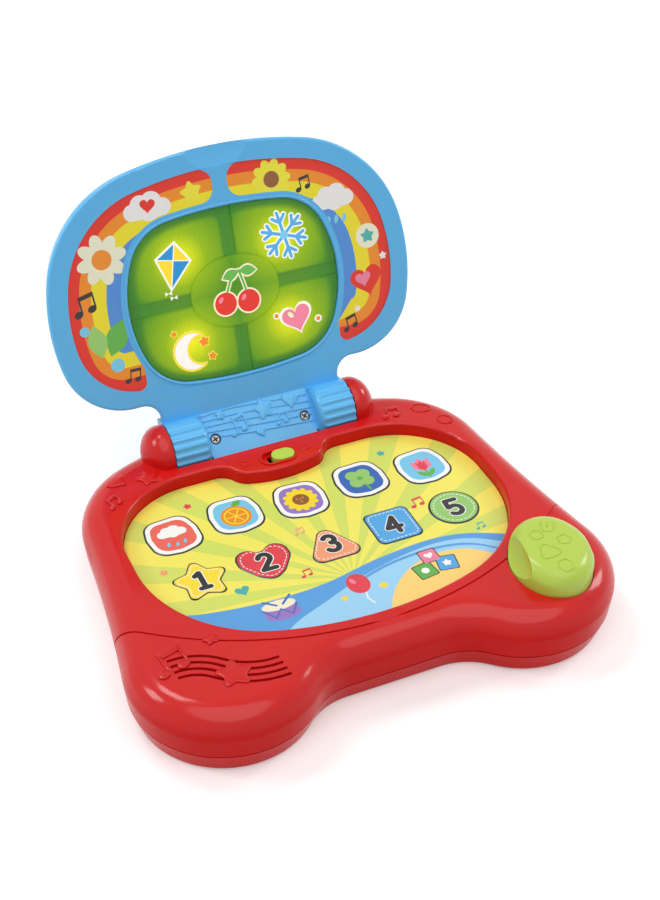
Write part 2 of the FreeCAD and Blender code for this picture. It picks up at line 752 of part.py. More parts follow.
def hinge_lugs():
    """Thumb-shaped lugs that grow out of the rear deck on both sides of the barrel."""
    pieces = []
    cone_top = sz.hinge_height - sz.lug_radius / 2
    for way in (-1, 1):
        spot = (way * sz.lug_across, sz.hinge_rear)
        foot = doc.addObject("Part::Cone", "lug_foot")
        bind(foot, "Radius1", sz.lug_foot_radius)
        bind(foot, "Radius2", sz.lug_reach)
        bind(foot, "Height", cone_top - sz.seam_height - sz.wall)
        place(foot, spot[0], spot[1], sz.seam_height + sz.wall)
        pieces.append(foot)
        pieces.append(oval_prism("lug_post", spot, cone_top, sz.hinge_height, sz.lug_radius, sz.lug_reach, 90))
        dome = doc.addObject("Part::Ellipsoid", "lug_dome")
        bind(dome, "Radius1", sz.lug_radius)
        bind(dome, "Radius2", sz.lug_reach)
        bind(dome, "Radius3", sz.lug_radius)
        pieces.append(place(dome, spot[0], spot[1], sz.hinge_height))
    gap = box("lug_gap", (-sz.lug_face, sz.hinge_rear - beyond, 0),
              (sz.lug_face, sz.hinge_rear + beyond, sz.hinge_height + beyond))
    return cut("hinge_lugs", fused("lug_forms", pieces), [gap])


def grille_slots():
    """Wavy speaker slots: each is two arcs of opposite bend, and all run parallel."""
    radius = sz.grille_chord / 2 / sine_of(sz.grille_bend)
    drop = radius * cosine_of(sz.grille_bend)
    slots = []
    for arc in range(2):
        along = sz.grille_chord * (arc + 0.5)
        aside = drop * (2 * arc - 1)
        centre_x = -sz.grille_start_across + along * cosine_of(sz.grille_heading) \
            - aside * sine_of(sz.grille_heading)
        centre_y = -sz.grille_start_setback + along * sine_of(sz.grille_heading) \
            + aside * cosine_of(sz.grille_heading)
        first = sz.grille_heading + 90 + 180 * arc - sz.grille_bend
        for index in range(grille_count):
            middle = radius + sz.grille_pitch * index * (2 * arc - 1)
            wedges = []
            for side in (1, -1):
                wedge = doc.addObject("Part::Cylinder", "grille_wedge")
                bind(wedge, "Radius", middle + side * sz.grille_width / 2)
                bind(wedge, "Height", 2 * sz.wall)
                bind(wedge, "Angle", 2 * sz.grille_bend)
                place(wedge, centre_x, centre_y, deck_under - sz.wall / 2, (0, 0, 1), first)
                wedges.append(wedge)
            slots.append(cut("grille_slot", wedges[0], [wedges[1]]))
    return slots


def palm_groove():
    """Shallow line that runs round the front of the keypad and over both sides of the base."""
    radius = sz.recess_front_radius + sz.palm_groove_offset
    spot = (0, sz.recess_front_radius - sz.recess_front)
    low, high = sz.seam_height, sz.deck_height + sz.wall
    half = sz.palm_groove_width / 2
    ring = cut("groove_ring", upright("groove_outer", spot, low, high, radius + half),
               [upright("groove_inner", spot, low - 1, high + 1, radius - half)])
    core = rounded_block("groove_core", sz.palm_groove_depth, sz.deck_height - sz.palm_groove_depth,
                         sz.seam_height - 1)[0]
    front = box("groove_front", (-2 * beyond - sz.lobe_across, -2 * sz.lobe_setback, 0),
                (2 * beyond + sz.lobe_across, 0, high))
    return cut("palm_groove", shared("groove_stretch", ring, front), [core])


def mouse_spot(item):
    return place(item, sz.mouse_across, -sz.mouse_setback, 0, (0, 0, 1), sz.mouse_turn)


def speaker_ring():
    spot = (-sz.speaker_across, -sz.speaker_setback)
    low, high = deck_under - 3 * sz.speaker_rim, deck_under + sz.wall / 2
    outer = upright("speaker_ring_outer", spot, low, high, sz.speaker_radius + sz.sheet_gap + sz.wall)
    inner = upright("speaker_ring_inner", spot, low - 1, high + 1, sz.speaker_radius + sz.sheet_gap)
    return cut("speaker_ring", outer, [inner])


def base_top_shell():
    form, _ = rounded_block("base_form", 0, sz.deck_height, sz.seam_height)
    recess_pocket(form)
    rim = stadium("dish_rim", (0, sz.slider_rear), deck_under, sz.deck_height + sz.dish_rim_height,
                  dish_length + 2 * sz.dish_rim_width, dish_width + 2 * sz.dish_rim_width)
    outside = fused("base_outside", [form, hinge_lugs(), rim])

    hollow, _ = rounded_block("base_hollow", sz.wall, deck_under, sz.seam_height - 1)
    tray = plate("tray_walls", recess_outline, tray_under, sz.deck_height, sz.wall)
    barrel_room = sz.barrel_radius + sz.barrel_gap
    trough_wall = lengthwise("trough_wall", -sz.lug_face - sz.wall, sz.lug_face + sz.wall,
                             sz.hinge_rear, sz.hinge_height, barrel_room + sz.wall)
    kept = [tray, trough_wall, speaker_ring()]
    for way in (-1, 1):
        ends = sorted((way * sz.lug_face, way * (sz.pin_bore_end + sz.lug_wall)), key=lambda end: end.number)
        kept.append(lengthwise("lug_core", ends[0], ends[1], sz.hinge_rear, sz.hinge_height,
                               sz.pin_radius + sz.lug_wall))
    for spot in base_screw_spots:
        kept.append(upright("top_boss", spot, sz.seam_height, deck_under + 1, sz.boss_radius))
    hollow = cut("base_room", hollow, kept)

    tools = [hollow, palm_groove()]
    tools.append(lengthwise("trough", -sz.lug_face, sz.lug_face, sz.hinge_rear, sz.hinge_height, barrel_room))
    for way in (-1, 1):
        ends = sorted((way * (sz.lug_face - 1), way * sz.pin_bore_end), key=lambda end: end.number)
        tools.append(lengthwise("pin_bore", ends[0], ends[1], sz.hinge_rear, sz.hinge_height,
                                sz.pin_radius + sz.pin_clearance))
    tools.append(upright("lead_hole", (lead_across, sz.hinge_rear), deck_under - sz.lug_wall - 2,
                         sz.hinge_height, 2 * sz.lead_radius))
    tools.append(stadium("dish", (0, sz.slider_rear), sz.deck_height - sz.dish_depth,
                         sz.deck_height + 2, dish_length, dish_width))
    stem_room = sz.stem_length + sz.knob_travel + 2 * sz.slide_gap
    tools.append(box("stem_slot", (-stem_room / 2, sz.slider_rear - sz.stem_width / 2 - sz.slide_gap, tray_under),
                     (stem_room / 2, sz.slider_rear + sz.stem_width / 2 + sz.slide_gap, sz.deck_height)))
    hole = plate("mouse_hole", mouse_outline, sz.widest_height, sz.deck_height + beyond, sz.mouse_gap)
    tools.append(mouse_spot(hole))
    rise = sz.scoop_radius.number ** 2 - sz.scoop_half_width.number ** 2
    lift = Dim(math.sqrt(rise), f"sqrt({(sz.scoop_radius * sz.scoop_radius).text} - "
                                f"{(sz.scoop_half_width * sz.scoop_half_width).text})")
    tools.append(ball("finger_scoop", (0, -sz.scoop_setback, sz.deck_height + lift),
                      sz.scoop_radius))
    tools += grille_slots()
    for spot in base_screw_spots:
        tools.append(upright("top_pilot", spot, sz.seam_height - 1,
                             sz.counterbore_depth + sz.screw_length + 1, sz.screw_radius + sz.screw_fit))
    keep("base_top_shell", cut("base_top_shell", outside, tools))


def drafted_tray(name, inset, floor, high):
    """Lower half of the base, narrowing towards the table."""
    body = new_body(name)
    sketch = base_outline(body, f"{name}_outline", sz.seam_height, seam_inset + inset)
    if dim(high).number > sz.seam_height.number:
        pad(body, sketch, dim(high) - sz.seam_height)
    feature = pad(body, sketch, sz.seam_height - floor, down=True, draft=sz.bottom_draft)
    rounding = smaller(sz.bottom_round, (sz.seam_height - floor) / 2)
    round_edges(body, feature, level_edges(body.Shape, dim(floor).number), rounding)
    return body


def battery_bay_box(name, room, low, high):
    """Block round the two cells, with some room on every side."""
    half_length = sz.cell_length / 2 + sz.spring_room + room
    half_width = 2 * sz.cell_radius + sz.bay_clearance * 1.5 + room
    return box(name, (-half_length, -sz.battery_setback - half_width, low),
               (half_length, half_width - sz.battery_setback, high))


def base_bottom_shell():
    form = drafted_tray("bottom_form", 0, 0, sz.seam_height)
    low = sz.seam_height - sz.seam_groove
    groove = cut("seam_groove", plate("seam_outer", base_outline, low, sz.seam_height + 1, 0),
                 [plate("seam_core", base_outline, low - 1, sz.seam_height + 2, seam_inset + sz.seam_groove)])
    shell = cut("bottom_grooved", form, [groove])
    room = drafted_tray("bottom_room", sz.wall, sz.wall, sz.seam_height + 1)
    kept = [upright("bottom_boss", spot, 0, sz.seam_height, sz.boss_radius) for spot in base_screw_spots]
    for spot in board_posts():
        kept.append(upright("board_post", spot, sz.wall / 2, sz.sound_board_height, sz.boss_radius / 2))
    kept.append(upright("door_boss", door_screw_spot, sz.wall / 2, sz.seam_height, sz.boss_radius))
    for way in (-1, 1):
        spot = (sz.mouse_across + way * sz.dome_radius, -sz.mouse_setback)
        kept.append(upright("mouse_post", spot, sz.wall / 2, sz.mouse_board_height, sz.boss_radius / 2))
    tub = battery_bay_box("battery_tub", sz.wall, 0, bay_top + sz.wall)
    walls = cut("bottom_walls", fused("bottom_with_posts", [cut("bottom_tray", shell, [room]), tub] + kept), [
        battery_bay_box("battery_room", 0, -1, bay_top),
        battery_bay_box("door_seat", sz.door_lip, -1, sz.wall / 2),
        upright("tab_seat", door_screw_spot, -1, sz.wall / 2, sz.boss_radius + sz.door_gap),
        upright("door_screw_pilot", door_screw_spot, -1, sz.wall + sz.screw_length / 2,
                sz.screw_radius + sz.screw_fit)]
        + [upright("bottom_bore", spot, -1, sz.seam_height + 1, sz.screw_radius + sz.slide_gap)
           for spot in base_screw_spots]
        + [upright("counterbore", spot, -1, sz.counterbore_depth, sz.screw_head_radius + sz.slide_gap)
           for spot in base_screw_spots])
    keep("base_bottom_shell", walls)


def screw(name, spot, seat, length, up=True):
    """Pan-head screw whose head sits under a seat height, or over it when it points down."""
    way = 1 if up else -1
    spans = [(seat, dim(seat) + way * dim(length)), (dim(seat) - way * sz.screw_head_height, seat)]
    shank, head = [sorted((dim(low), dim(high)), key=lambda end: end.number) for low, high in spans]
    return fused(name, [upright(f"{name}_shank", spot, shank[0], shank[1], sz.screw_radius),
                        upright(f"{name}_head", spot, head[0], head[1], sz.screw_head_radius)])


def keypad():
    keep("keypad_membrane", plate("keypad_membrane", recess_outline, tray_floor, membrane_top, -sz.sheet_gap))
    keep("keypad_overlay", plate("keypad_overlay", recess_outline, membrane_top, overlay_top, -sz.sheet_gap))


def slider():
    """Knob in its dish, with a flange under the deck, and the switch that its stem pushes."""
    centre = (knob_across, sz.slider_rear)
    cap_low = sz.deck_height - sz.dish_depth + sz.slide_gap
    flange_top = deck_under - sz.slide_gap
    flange_low = flange_top - sz.knob_flange
    cap = stadium("knob_cap", centre, cap_low, sz.deck_height + sz.knob_proud, sz.knob_length, sz.knob_width)
    half_stem, half_width = sz.stem_length / 2, sz.stem_width / 2
    stem = box("knob_stem", (knob_across - half_stem, sz.slider_rear - half_width, flange_low),
               (knob_across + half_stem, sz.slider_rear + half_width, cap_low))
    flange_half = half_stem + sz.knob_travel / 2
    flange = box("knob_flange", (knob_across - flange_half, sz.slider_rear - sz.knob_width / 2, flange_low),
                 (knob_across + flange_half, sz.slider_rear + sz.knob_width / 2, flange_top))
    lever_top = flange_low - sz.slide_gap / 3
    fork_low = lever_top - sz.lever_size
    fork = box("knob_fork", (knob_across - half_stem, sz.slider_rear - half_width, fork_low),
               (knob_across + half_stem, sz.slider_rear + half_width, flange_low))
    half_lever = sz.lever_size / 2
    slot = box("fork_slot", (knob_across - half_lever, sz.slider_rear - sz.knob_width, fork_low - 1),
               (knob_across + half_lever, sz.slider_rear + sz.knob_width, lever_top))
    knob = cut("knob_form", fused("knob_pieces", [cap, stem, flange, fork]), [slot])
    keep("slider_knob", knob)

    switch_top = fork_low - sz.slide_gap
    switch_low = switch_top - sz.switch_height
    half_slot = (sz.knob_travel + sz.lever_size) / 2 + sz.slide_gap
    body = box("switch_case", (-sz.switch_length / 2, sz.slider_rear - sz.switch_width / 2, switch_low),
               (sz.switch_length / 2, sz.slider_rear + sz.switch_width / 2, switch_top))
    lever_low = switch_top - sz.lever_size
    window = box("switch_window", (-half_slot, sz.slider_rear - half_lever - sz.slide_gap, lever_low - sz.slide_gap),
                 (half_slot, sz.slider_rear + half_lever + sz.slide_gap, switch_top + 1))
    ears = [box("switch_ear", (-sz.switch_length, sz.slider_rear - sz.switch_width / 2, switch_low),
                (sz.switch_length, sz.slider_rear + sz.switch_width / 2, switch_low + sz.knob_flange))]
    for way in (-1, 1):
        middle = way * (sz.switch_length - sz.screw_radius)
        ears.append(upright("switch_post", (middle, sz.slider_rear), switch_low, deck_under, sz.screw_radius))
    keep("slide_switch_body", cut("slide_switch", fused("switch_with_ears", [body] + ears), [window]))
    keep("slide_switch_lever",
         box("switch_lever", (knob_across - half_lever, sz.slider_rear - half_lever, lever_low),
             (knob_across + half_lever, sz.slider_rear + half_lever, lever_top)))


def mouse():
    """Domed button with two grip scoops, hollow below, held by a flange under the shell at its sides and rear."""
    skirt_low = mouse_flange_top - sz.mouse_flange
    top = sz.deck_height + sz.mouse_proud
    body = new_body("mouse_form")
    feature = pad(body, mouse_outline(body, "mouse_outline", skirt_low, 0), top - skirt_low)
    round_edges(body, feature, level_edges(body.Shape, top.number), sz.mouse_round)
    rim = plate("mouse_rim", mouse_outline, skirt_low, mouse_flange_top, sz.mouse_gap + sz.mouse_flange)
    rear = box("mouse_rim_rear", (-2 * sz.mouse_half_width, 0, skirt_low - 1),
               (2 * sz.mouse_half_width, 2 * sz.mouse_half_length, mouse_flange_top + 1))
    flange = shared("mouse_flange", rim, rear)
    scoops = []
    for way, bite in ((-1, sz.scoop_bite), (1, sz.far_scoop_bite)):
        scoop = doc.addObject("Part::Ellipsoid", "mouse_scoop")
        bind(scoop, "Radius1", sz.scoop_height)
        bind(scoop, "Radius2", sz.scoop_height)
        bind(scoop, "Radius3", sz.scoop_length)
        middle = sz.mouse_half_width + sz.scoop_height - bite
        scoops.append(place(scoop, way * middle, -sz.mouse_half_length / 6, sz.deck_height + sz.scoop_rise))
    room = new_body("mouse_room")
    room_top = top - sz.mouse_wall - sz.scoop_bite
    inset = -sz.mouse_wall - sz.scoop_bite
    pad(room, mouse_outline(room, "mouse_room_outline", skirt_low - 1, inset), room_top - skirt_low + 1)
    post = upright("mouse_post", (0, 0), dome_top + dome_gap, room_top + 1, sz.dome_radius / 2)
    hollow = cut("mouse_hollow", room, [post])
    shell = cut("mouse_shell", fused("mouse_with_rim", [body, flange]), scoops + [hollow])
    keep("mouse_button", mouse_spot(shell))

    low = sz.mouse_board_height + sz.board_thickness
    dome = turned("mouse_dome", [
        (sz.dome_radius - 1, low), (sz.dome_radius, low), (sz.dome_radius, low + 1),
        (sz.dome_radius * 0.6, dome_top), (0, dome_top), (0, dome_top - 1.5),
        (sz.dome_radius * 0.45, dome_top - 1.5), (sz.dome_radius - 1, low + 1)])
    place(dome, sz.mouse_across, -sz.mouse_setback)
    keep("mouse_contact_dome", dome)
    half = sz.dome_radius + sz.boss_radius
    keep("mouse_switch_board",
         box("mouse_board", (sz.mouse_across - half, -sz.mouse_setback - half, sz.mouse_board_height),
             (sz.mouse_across + half, half - sz.mouse_setback, low)))


def board_posts():
    half, depth = sz.sound_board_width / 2 - sz.boss_radius, sz.sound_board_depth - sz.boss_radius
    return [(way * half, sz.sound_board_rear - back) for way in (-1, 1) for back in (sz.boss_radius, depth)]


def sound_board():
    top = sz.sound_board_height + sz.board_thickness
    half = sz.sound_board_width / 2
    board = box("sound_board", (-half, sz.sound_board_rear - sz.sound_board_depth, sz.sound_board_height),
                (half, sz.sound_board_rear, top))
    keep("main_circuit_board", board)
    middle = sz.sound_board_rear - sz.sound_board_depth / 2
    chip = box("sound_chip", (-sz.chip_size / 2, middle - sz.chip_size / 2, top),
               (sz.chip_size / 2, middle + sz.chip_size / 2, top + sz.chip_height))
    cans = [upright("capacitor", (way * sz.chip_size * 1.4, middle), top, top + sz.capacitor_height,
                    sz.capacitor_radius) for way in (-1, 1)]
    keep("board_parts", grouped("board_parts", [chip] + cans))


def speaker():
    """Pressed frame, paper cone and magnet, hung under the slots."""
    top = deck_under
    rim_low = top - sz.speaker_rim
    magnet_top = top - sz.speaker_height + sz.magnet_height
    throat = sz.magnet_radius * 0.8
    skin = sz.cone_thickness
    edge = sz.speaker_radius - sz.speaker_rim
    frame = turned("speaker_frame", [
        (edge, rim_low), (edge, top), (sz.speaker_radius, top), (sz.speaker_radius, rim_low - skin),
        (sz.magnet_radius, magnet_top), (throat, magnet_top), (throat, magnet_top + skin),
        (sz.magnet_radius, magnet_top + skin), (edge, rim_low - skin)])
    cone = turned("speaker_cone", [
        (edge - 0.1, rim_low), (edge - 0.1, rim_low + skin), (throat / 2, magnet_top + 2 * skin),
        (0, magnet_top + 4 * skin), (0, magnet_top + 3 * skin), (throat / 2, magnet_top + skin)])
    magnet = turned("speaker_magnet", [
        (0, magnet_top - sz.magnet_height), (sz.magnet_radius, magnet_top - sz.magnet_height),
        (sz.magnet_radius, magnet_top), (0, magnet_top)])
    for label, item in (("speaker_frame", frame), ("speaker_cone", cone), ("speaker_magnet", magnet)):
        keep(label, place(item, -sz.speaker_across, -sz.speaker_setback))


def battery_pack():
    """Two cells side by side, their plates and leaf springs, and the door that closes the bay."""
    middle = bay_top - sz.bay_clearance - sz.cell_radius
    half = sz.cell_length / 2
    rows = [(way, way * (sz.cell_radius + sz.bay_clearance / 2) - sz.battery_setback) for way in (-1, 1)]
    cells, plates, springs = [], [], []
    tip_radius, tip_length = sz.cell_radius * 0.38, sz.cell_length * 0.02
    for way, row in rows:
        ends = sorted((-way * half, way * (half - tip_length)), key=lambda end: end.number)
        tip = sorted((way * (half - tip_length), way * half), key=lambda end: end.number)
        cells.append(fused("cell", [
            lengthwise("cell_can", ends[0], ends[1], row, middle, sz.cell_radius),
            lengthwise("cell_tip", tip[0], tip[1], row, middle, tip_radius)]))
        wall_side = half + sz.spring_room
        plates.append(contact_plate("contact_plate", way, wall_side, half, row, middle))
        springs.append(leaf_spring("leaf_spring", -way, wall_side, half, row, middle))
    keep("battery_cells", grouped("battery_cells", cells))
    keep("battery_plates", grouped("battery_plates", plates))
    keep("battery_springs", grouped("battery_springs", springs))
    door = fused("door_form", [
        battery_bay_box("door_panel", sz.door_lip - sz.door_gap, 0, sz.wall / 2),
        upright("door_tab", door_screw_spot, 0, sz.wall / 2, sz.boss_radius),
        battery_bay_box("door_ridge", -sz.door_gap, sz.wall / 4, sz.wall)])
    bore = upright("door_bore", door_screw_spot, -1, sz.wall + 1, sz.screw_radius + sz.slide_gap)
    head = upright("door_head_seat", door_screw_spot, -1, sz.wall / 4, sz.screw_head_radius + sz.slide_gap)
    keep("battery_door", cut("battery_door", door, [bore, head]))
    flat = upright("door_screw_head", door_screw_spot, 0, sz.wall / 4, sz.screw_head_radius)
    shank = upright("door_screw_shank", door_screw_spot, 0, sz.wall / 2 + sz.screw_length / 2, sz.screw_radius)
    keep("battery_door_screw", fused("door_screw", [flat, shank]))


def contact_plate(name, way, wall_side, half, row, middle):
    """Flat plate on the end wall with a stud that reaches the cell's tip."""
    ends = sorted((way * wall_side, way * (wall_side - sz.plate_thickness)), key=lambda end: end.number)
    flat = box(f"{name}_flat", (ends[0], row - sz.plate_width / 2, middle - sz.plate_width / 2),
               (ends[1], row + sz.plate_width / 2, middle + sz.plate_width / 2))
    stud = sorted((way * (wall_side - sz.plate_thickness), way * half), key=lambda end: end.number)
    return fused(name, [flat, lengthwise(f"{name}_stud", stud[0], stud[1], row, middle, sz.plate_width / 4)])


def leaf_spring(name, way, wall_side, half, row, middle):
    """Bowed strip between the end wall and the cell: a slice of a thin tube."""
    room = wall_side - half
    span = sz.plate_width
    radius = (span * span / 4 + room * room) / (2 * room)
    centre = way * (half + radius)
    low, high = middle - sz.plate_width / 3, middle + sz.plate_width / 3
    tube = cut(f"{name}_tube", upright(f"{name}_outer", (centre, row), low, high, radius),
               [upright(f"{name}_inner", (centre, row), low - 1, high + 1, radius - sz.plate_thickness)])
    ends = sorted((way * half, way * wall_side), key=lambda end: end.number)
    return shared(name, tube, box(f"{name}_slice", (ends[0], row - span, low), (ends[1], row + span, high)))


# Lid

front = -sz.lid_setback
parting = front - sz.front_shell_depth
back = parting - sz.back_shell_depth
front_under = front - sz.lid_wall
back_under = back + sz.lid_wall
neck_foot = sz.barrel_radius + 0.2
lens_front = front - sz.lens_sink
lens_back = lens_front - sz.lens_thickness
light_box_front = lens_back - sz.diffuser_thickness
led_board_front = light_box_front - sz.light_box_depth
led_board_back = led_board_front - sz.led_board_thickness
lead_level = led_board_front - sz.lead_radius - sz.lens_gap
lead_lid_across = sz.lead_bend + 2 * sz.lead_radius - sz.pin_inner
lid_inset = sz.front_shell_depth * tangent_of(sz.lid_draft)
lead_rise = neck_foot + 2 * sz.lid_wall


def picture_field(name, low, high):
    """Both picture panels as one pair of solids, from the bezel in to the ring round the screen."""
    field = plate(f"{name}_field", field_outline, low, high)
    ring = plate(f"{name}_ring", screen_outline, low - 1, high + 1, sz.ring_width)
    bridge = box(f"{name}_bridge", (-sz.bridge_width / 2, 0, low - 1),
                 (sz.bridge_width / 2, sz.lid_reach, high + 1))
    tips = box(f"{name}_tips", (-sz.panel_tip_across, 0, low - 1),
               (sz.panel_tip_across, sz.screen_centre, high + 1))
    pair = cut(f"{name}_pair", field, [ring, bridge, tips])
    doc.recompute()
    rounding = doc.addObject("Part::Fillet", f"{name}_rounded")
    rounding.Base = pair
    rounding.Edges = [(index, radius, radius) for index, radius in panel_corners(pair.Shape)]
    return rounding


def panel_corners(shape):
    """Upright edges at the ends of the panels, with the rounding that each gets."""
    found = []
    for index, edge in enumerate(shape.Edges, start=1):
        limits = edge.BoundBox
        if limits.ZLength < 1e-3 or limits.XLength > 1e-6 or limits.YLength > 1e-6:
            continue
        if abs(abs(limits.XMin) - sz.bridge_width.number / 2) < 1e-4:
            found.append((index, sz.panel_end_round.number))
        elif abs(abs(limits.XMin) - sz.panel_tip_across.number) < 1e-4:
            found.append((index, sz.panel_tip_round.number))
    return found


def one_side(name, item, way):
    ends = sorted((0, way * 2 * sz.lid_half_width.number))
    half = box(f"{name}_half", (ends[0], 0, back), (ends[1], 2 * sz.lid_reach, 0))
    return shared(name, item, half)


def rim_edges(shape, height):
    """Edges at a height, apart from the straight one across the neck."""
    low = min(shape.getElement(name).BoundBox.YMin for name in level_edges(shape, height))
    return [name for name in level_edges(shape, height) if shape.getElement(name).BoundBox.YMax > low + 0.1]


def lid_hollow(name, low, high, rounding=None):
    """Room inside a lid shell, with its far edges softened where the shell's are."""
    body = new_body(name)
    outward = dim(high).number > dim(low).number
    inset = sz.lid_wall + lid_inset
    sketch = lid_outline(body, f"{name}_outline", low, inset, neck_foot)
    length = dim(high) - low if outward else dim(low) - high
    feature = pad(body, sketch, length, down=not outward)
    if rounding is not None:
        round_edges(body, feature, rim_edges(body.Shape, dim(high).number), rounding)
    return cut(f"{name}_cut", body, [box(f"{name}_foot", (-sz.lug_face, 0, back),
                                         (sz.lug_face, neck_foot + inset, 0))])


def lid_front_shell():
    form = new_body("lid_front_form")
    feature = taper(form, lid_outline(form, "lid_front_outline", front, 0, neck_foot),
                    lid_outline(form, "lid_parting_outline", parting, lid_inset, neck_foot))
    round_edges(form, feature, rim_edges(form.Shape, front.number), sz.lid_front_round)
    room = lid_hollow("lid_front_room", parting - 1, front_under)
    kept = [upright("lid_front_boss", spot, parting, front, sz.lid_boss_radius) for spot in lid_screw_spots]
    window = plate("lid_window", screen_outline, parting, front + 1, 0)
    field = plate("field_recess", field_outline, front - sz.field_depth, front + 1)
    pockets = picture_field("panel_pocket", front - sz.panel_depth, front + 1)
    rise = sz.notch_radius.number ** 2 - sz.notch_half_width.number ** 2
    lift = Dim(math.sqrt(rise), f"sqrt({(sz.notch_radius * sz.notch_radius).text} - "
                                f"{(sz.notch_half_width * sz.notch_half_width).text})")
    notch = ball("lid_notch", (0, sz.lid_reach + sz.notch_offset, front + lift), sz.notch_radius)
    pilots = [upright("lid_pilot", spot, parting - 1, front_under, sz.screw_radius + sz.screw_fit)
              for spot in lid_screw_spots]
    hollow = cut("lid_front_hollow", room, kept)
    shell = cut("lid_front_shell", form, [hollow, window, field, pockets, notch] + pilots)
    keep_on_lid("lid_front_shell", shell)


def barrel(name, radius):
    return lengthwise(name, -sz.neck_half_width, sz.neck_half_width, 0, 0, radius)


def pin_seats(name):
    seats = []
    for way in (-1, 1):
        ends = sorted((way * sz.pin_inner, way * (sz.neck_half_width + 1)), key=lambda end: end.number)
        seats.append(lengthwise(name, ends[0], ends[1], 0, 0, sz.pin_radius))
    return seats


def lead_rooms(name):
    """Rooms for the lead: along the axis to the left pin, round its bend, and up the neck into the lid."""
    wide = 3 * sz.lead_radius + sz.slide_gap
    channel = lengthwise(f"{name}_channel", -sz.pin_inner, lead_lid_across + wide, 0, 0, wide)
    corner = ball(f"{name}_corner", (lead_lid_across, 0, 0), sz.lead_bend + sz.slide_gap)
    climb = doc.addObject("Part::Cylinder", f"{name}_climb")
    bind(climb, "Radius", sz.lead_radius + 2 * sz.slide_gap)
    tilt = math.degrees(math.atan2(-lead_level.number, lead_rise.number))
    climb.Height = math.hypot(lead_rise.number, lead_level.number) + 2 * sz.lead_radius.number
    place(climb, lead_lid_across, 0, 0, (1, 0, 0), -90 - tilt)
    return [channel, corner, climb]


def cover_screw_axis(name, way, start, end, radius):
    """Cylinder square to the ramp through a cover screw, between two distances from the hinge axis."""
    item = doc.addObject("Part::Cylinder", name)
    bind(item, "Radius", radius)
    bind(item, "Height", dim(end) - start)
    side = sz.cover_screw_rise
    y = dim(start) * sine_of(sz.ramp_tilt) - side * cosine_of(sz.ramp_tilt)
    z = dim(start) * cosine_of(sz.ramp_tilt) + side * sine_of(sz.ramp_tilt)
    return place(item, way * sz.cover_screw_across, y, z, (1, 0, 0), -sz.ramp_tilt)


def lid_back_shell():
    """Back of the lid with the rear half of the hinge barrel."""
    form = new_body("lid_back_form")
    sketch = lid_outline(form, "lid_back_outline", parting, lid_inset, 0)
    feature = pad(form, sketch, sz.back_shell_depth, down=True)
    round_edges(form, feature, rim_edges(form.Shape, back.number), sz.lid_back_round)
    foot = neck_foot - sz.lid_wall
    below = box("back_foot", (-sz.lug_face, -1, back - 1), (sz.lug_face, foot, 0))
    middle = foot + sz.lid_back_round
    edge = cut("back_foot_edge", box("back_foot_block", (-sz.lug_face, foot - 1, back - 1),
                                     (sz.lug_face, middle, back + sz.lid_back_round)),
               [lengthwise("back_foot_round", -sz.lug_face - 1, sz.lug_face + 1, middle,
                           back + sz.lid_back_round, sz.lid_back_round)])
    form = cut("lid_back_trimmed", cut("lid_back_footed", form, [below]), [edge])
    room = lid_hollow("lid_back_room", parting + 1, back_under, sz.lid_back_round - sz.lid_wall)
    kept = [upright("lid_back_boss", spot, back, parting, sz.lid_boss_radius) for spot in lid_screw_spots]
    for x, y in led_board_posts():
        kept.append(upright("led_post", (x, y), back, led_board_back, sz.screw_radius))
    half_barrel = cut("rear_barrel", barrel("rear_barrel_form", sz.barrel_radius),
                      [box("rear_barrel_front", (-sz.lug_face, -beyond, 0), (sz.lug_face, beyond, beyond)),
                       ramp_block("rear_ramp")])
    neck = box("neck_block", (-sz.neck_half_width, 0, -sz.barrel_radius * 0.8),
               (sz.neck_half_width, neck_foot, front))
    outside = fused("lid_back_outside", [form, half_barrel, neck])
    opened = cut("lid_back_open", outside, [cut("lid_back_hollow", room, kept)])
    for passage in lead_rooms("rear_lead"):
        opened = cut("lid_back_led", opened, [passage])
    tools = pin_seats("rear_pin_seat")
    tools += [cover_screw_axis("cover_pilot", way, sz.ramp_distance - sz.cover_screw_recess - sz.cover_screw_length,
                               sz.ramp_distance, sz.screw_radius + sz.screw_fit) for way in (-1, 1)]
    for spot in lid_screw_spots:
        tools.append(upright("lid_bore", spot, back - 1, parting + 1, sz.screw_radius + sz.slide_gap))
        tools.append(upright("lid_counterbore", spot, back - 1, back + sz.counterbore_depth,
                             sz.screw_head_radius + sz.slide_gap))
    keep_on_lid("lid_back_shell", cut("lid_back_shell", opened, tools))


def ramp_block(name):
    """Block that leaves the sloping field between the knuckles."""
    ramp = box(name, (-sz.ramp_half_width, -beyond, sz.ramp_distance), (sz.ramp_half_width, beyond, beyond))
    return place(ramp, -sz.ramp_half_width,
                 -beyond * cosine_of(sz.ramp_tilt) + sz.ramp_distance * sine_of(sz.ramp_tilt),
                 beyond * sine_of(sz.ramp_tilt) + sz.ramp_distance * cosine_of(sz.ramp_tilt),
                 (1, 0, 0), -sz.ramp_tilt)


def knuckle_edges():
    """Rings that round off the knuckles' inner ends."""
    rings = []
    orbit = sz.barrel_radius - sz.knuckle_round
    for way in (-1, 1):
        middle = way * (sz.ramp_half_width + sz.knuckle_round)
        ends = sorted((way * (sz.ramp_half_width - 1), middle), key=lambda end: end.number)
        tube = doc.addObject("Part::Torus", "knuckle_tube")
        bind(tube, "Radius1", orbit)
        bind(tube, "Radius2", sz.knuckle_round)
        place(tube, middle, 0, 0, (0, 1, 0), 90)
        rings.append(cut("knuckle_edge", lengthwise("knuckle_ring", ends[0], ends[1], 0, 0, sz.barrel_radius + 1),
                         [lengthwise("knuckle_core", ends[0] - 1, ends[1] + 1, 0, 0, orbit), tube]))
    return rings


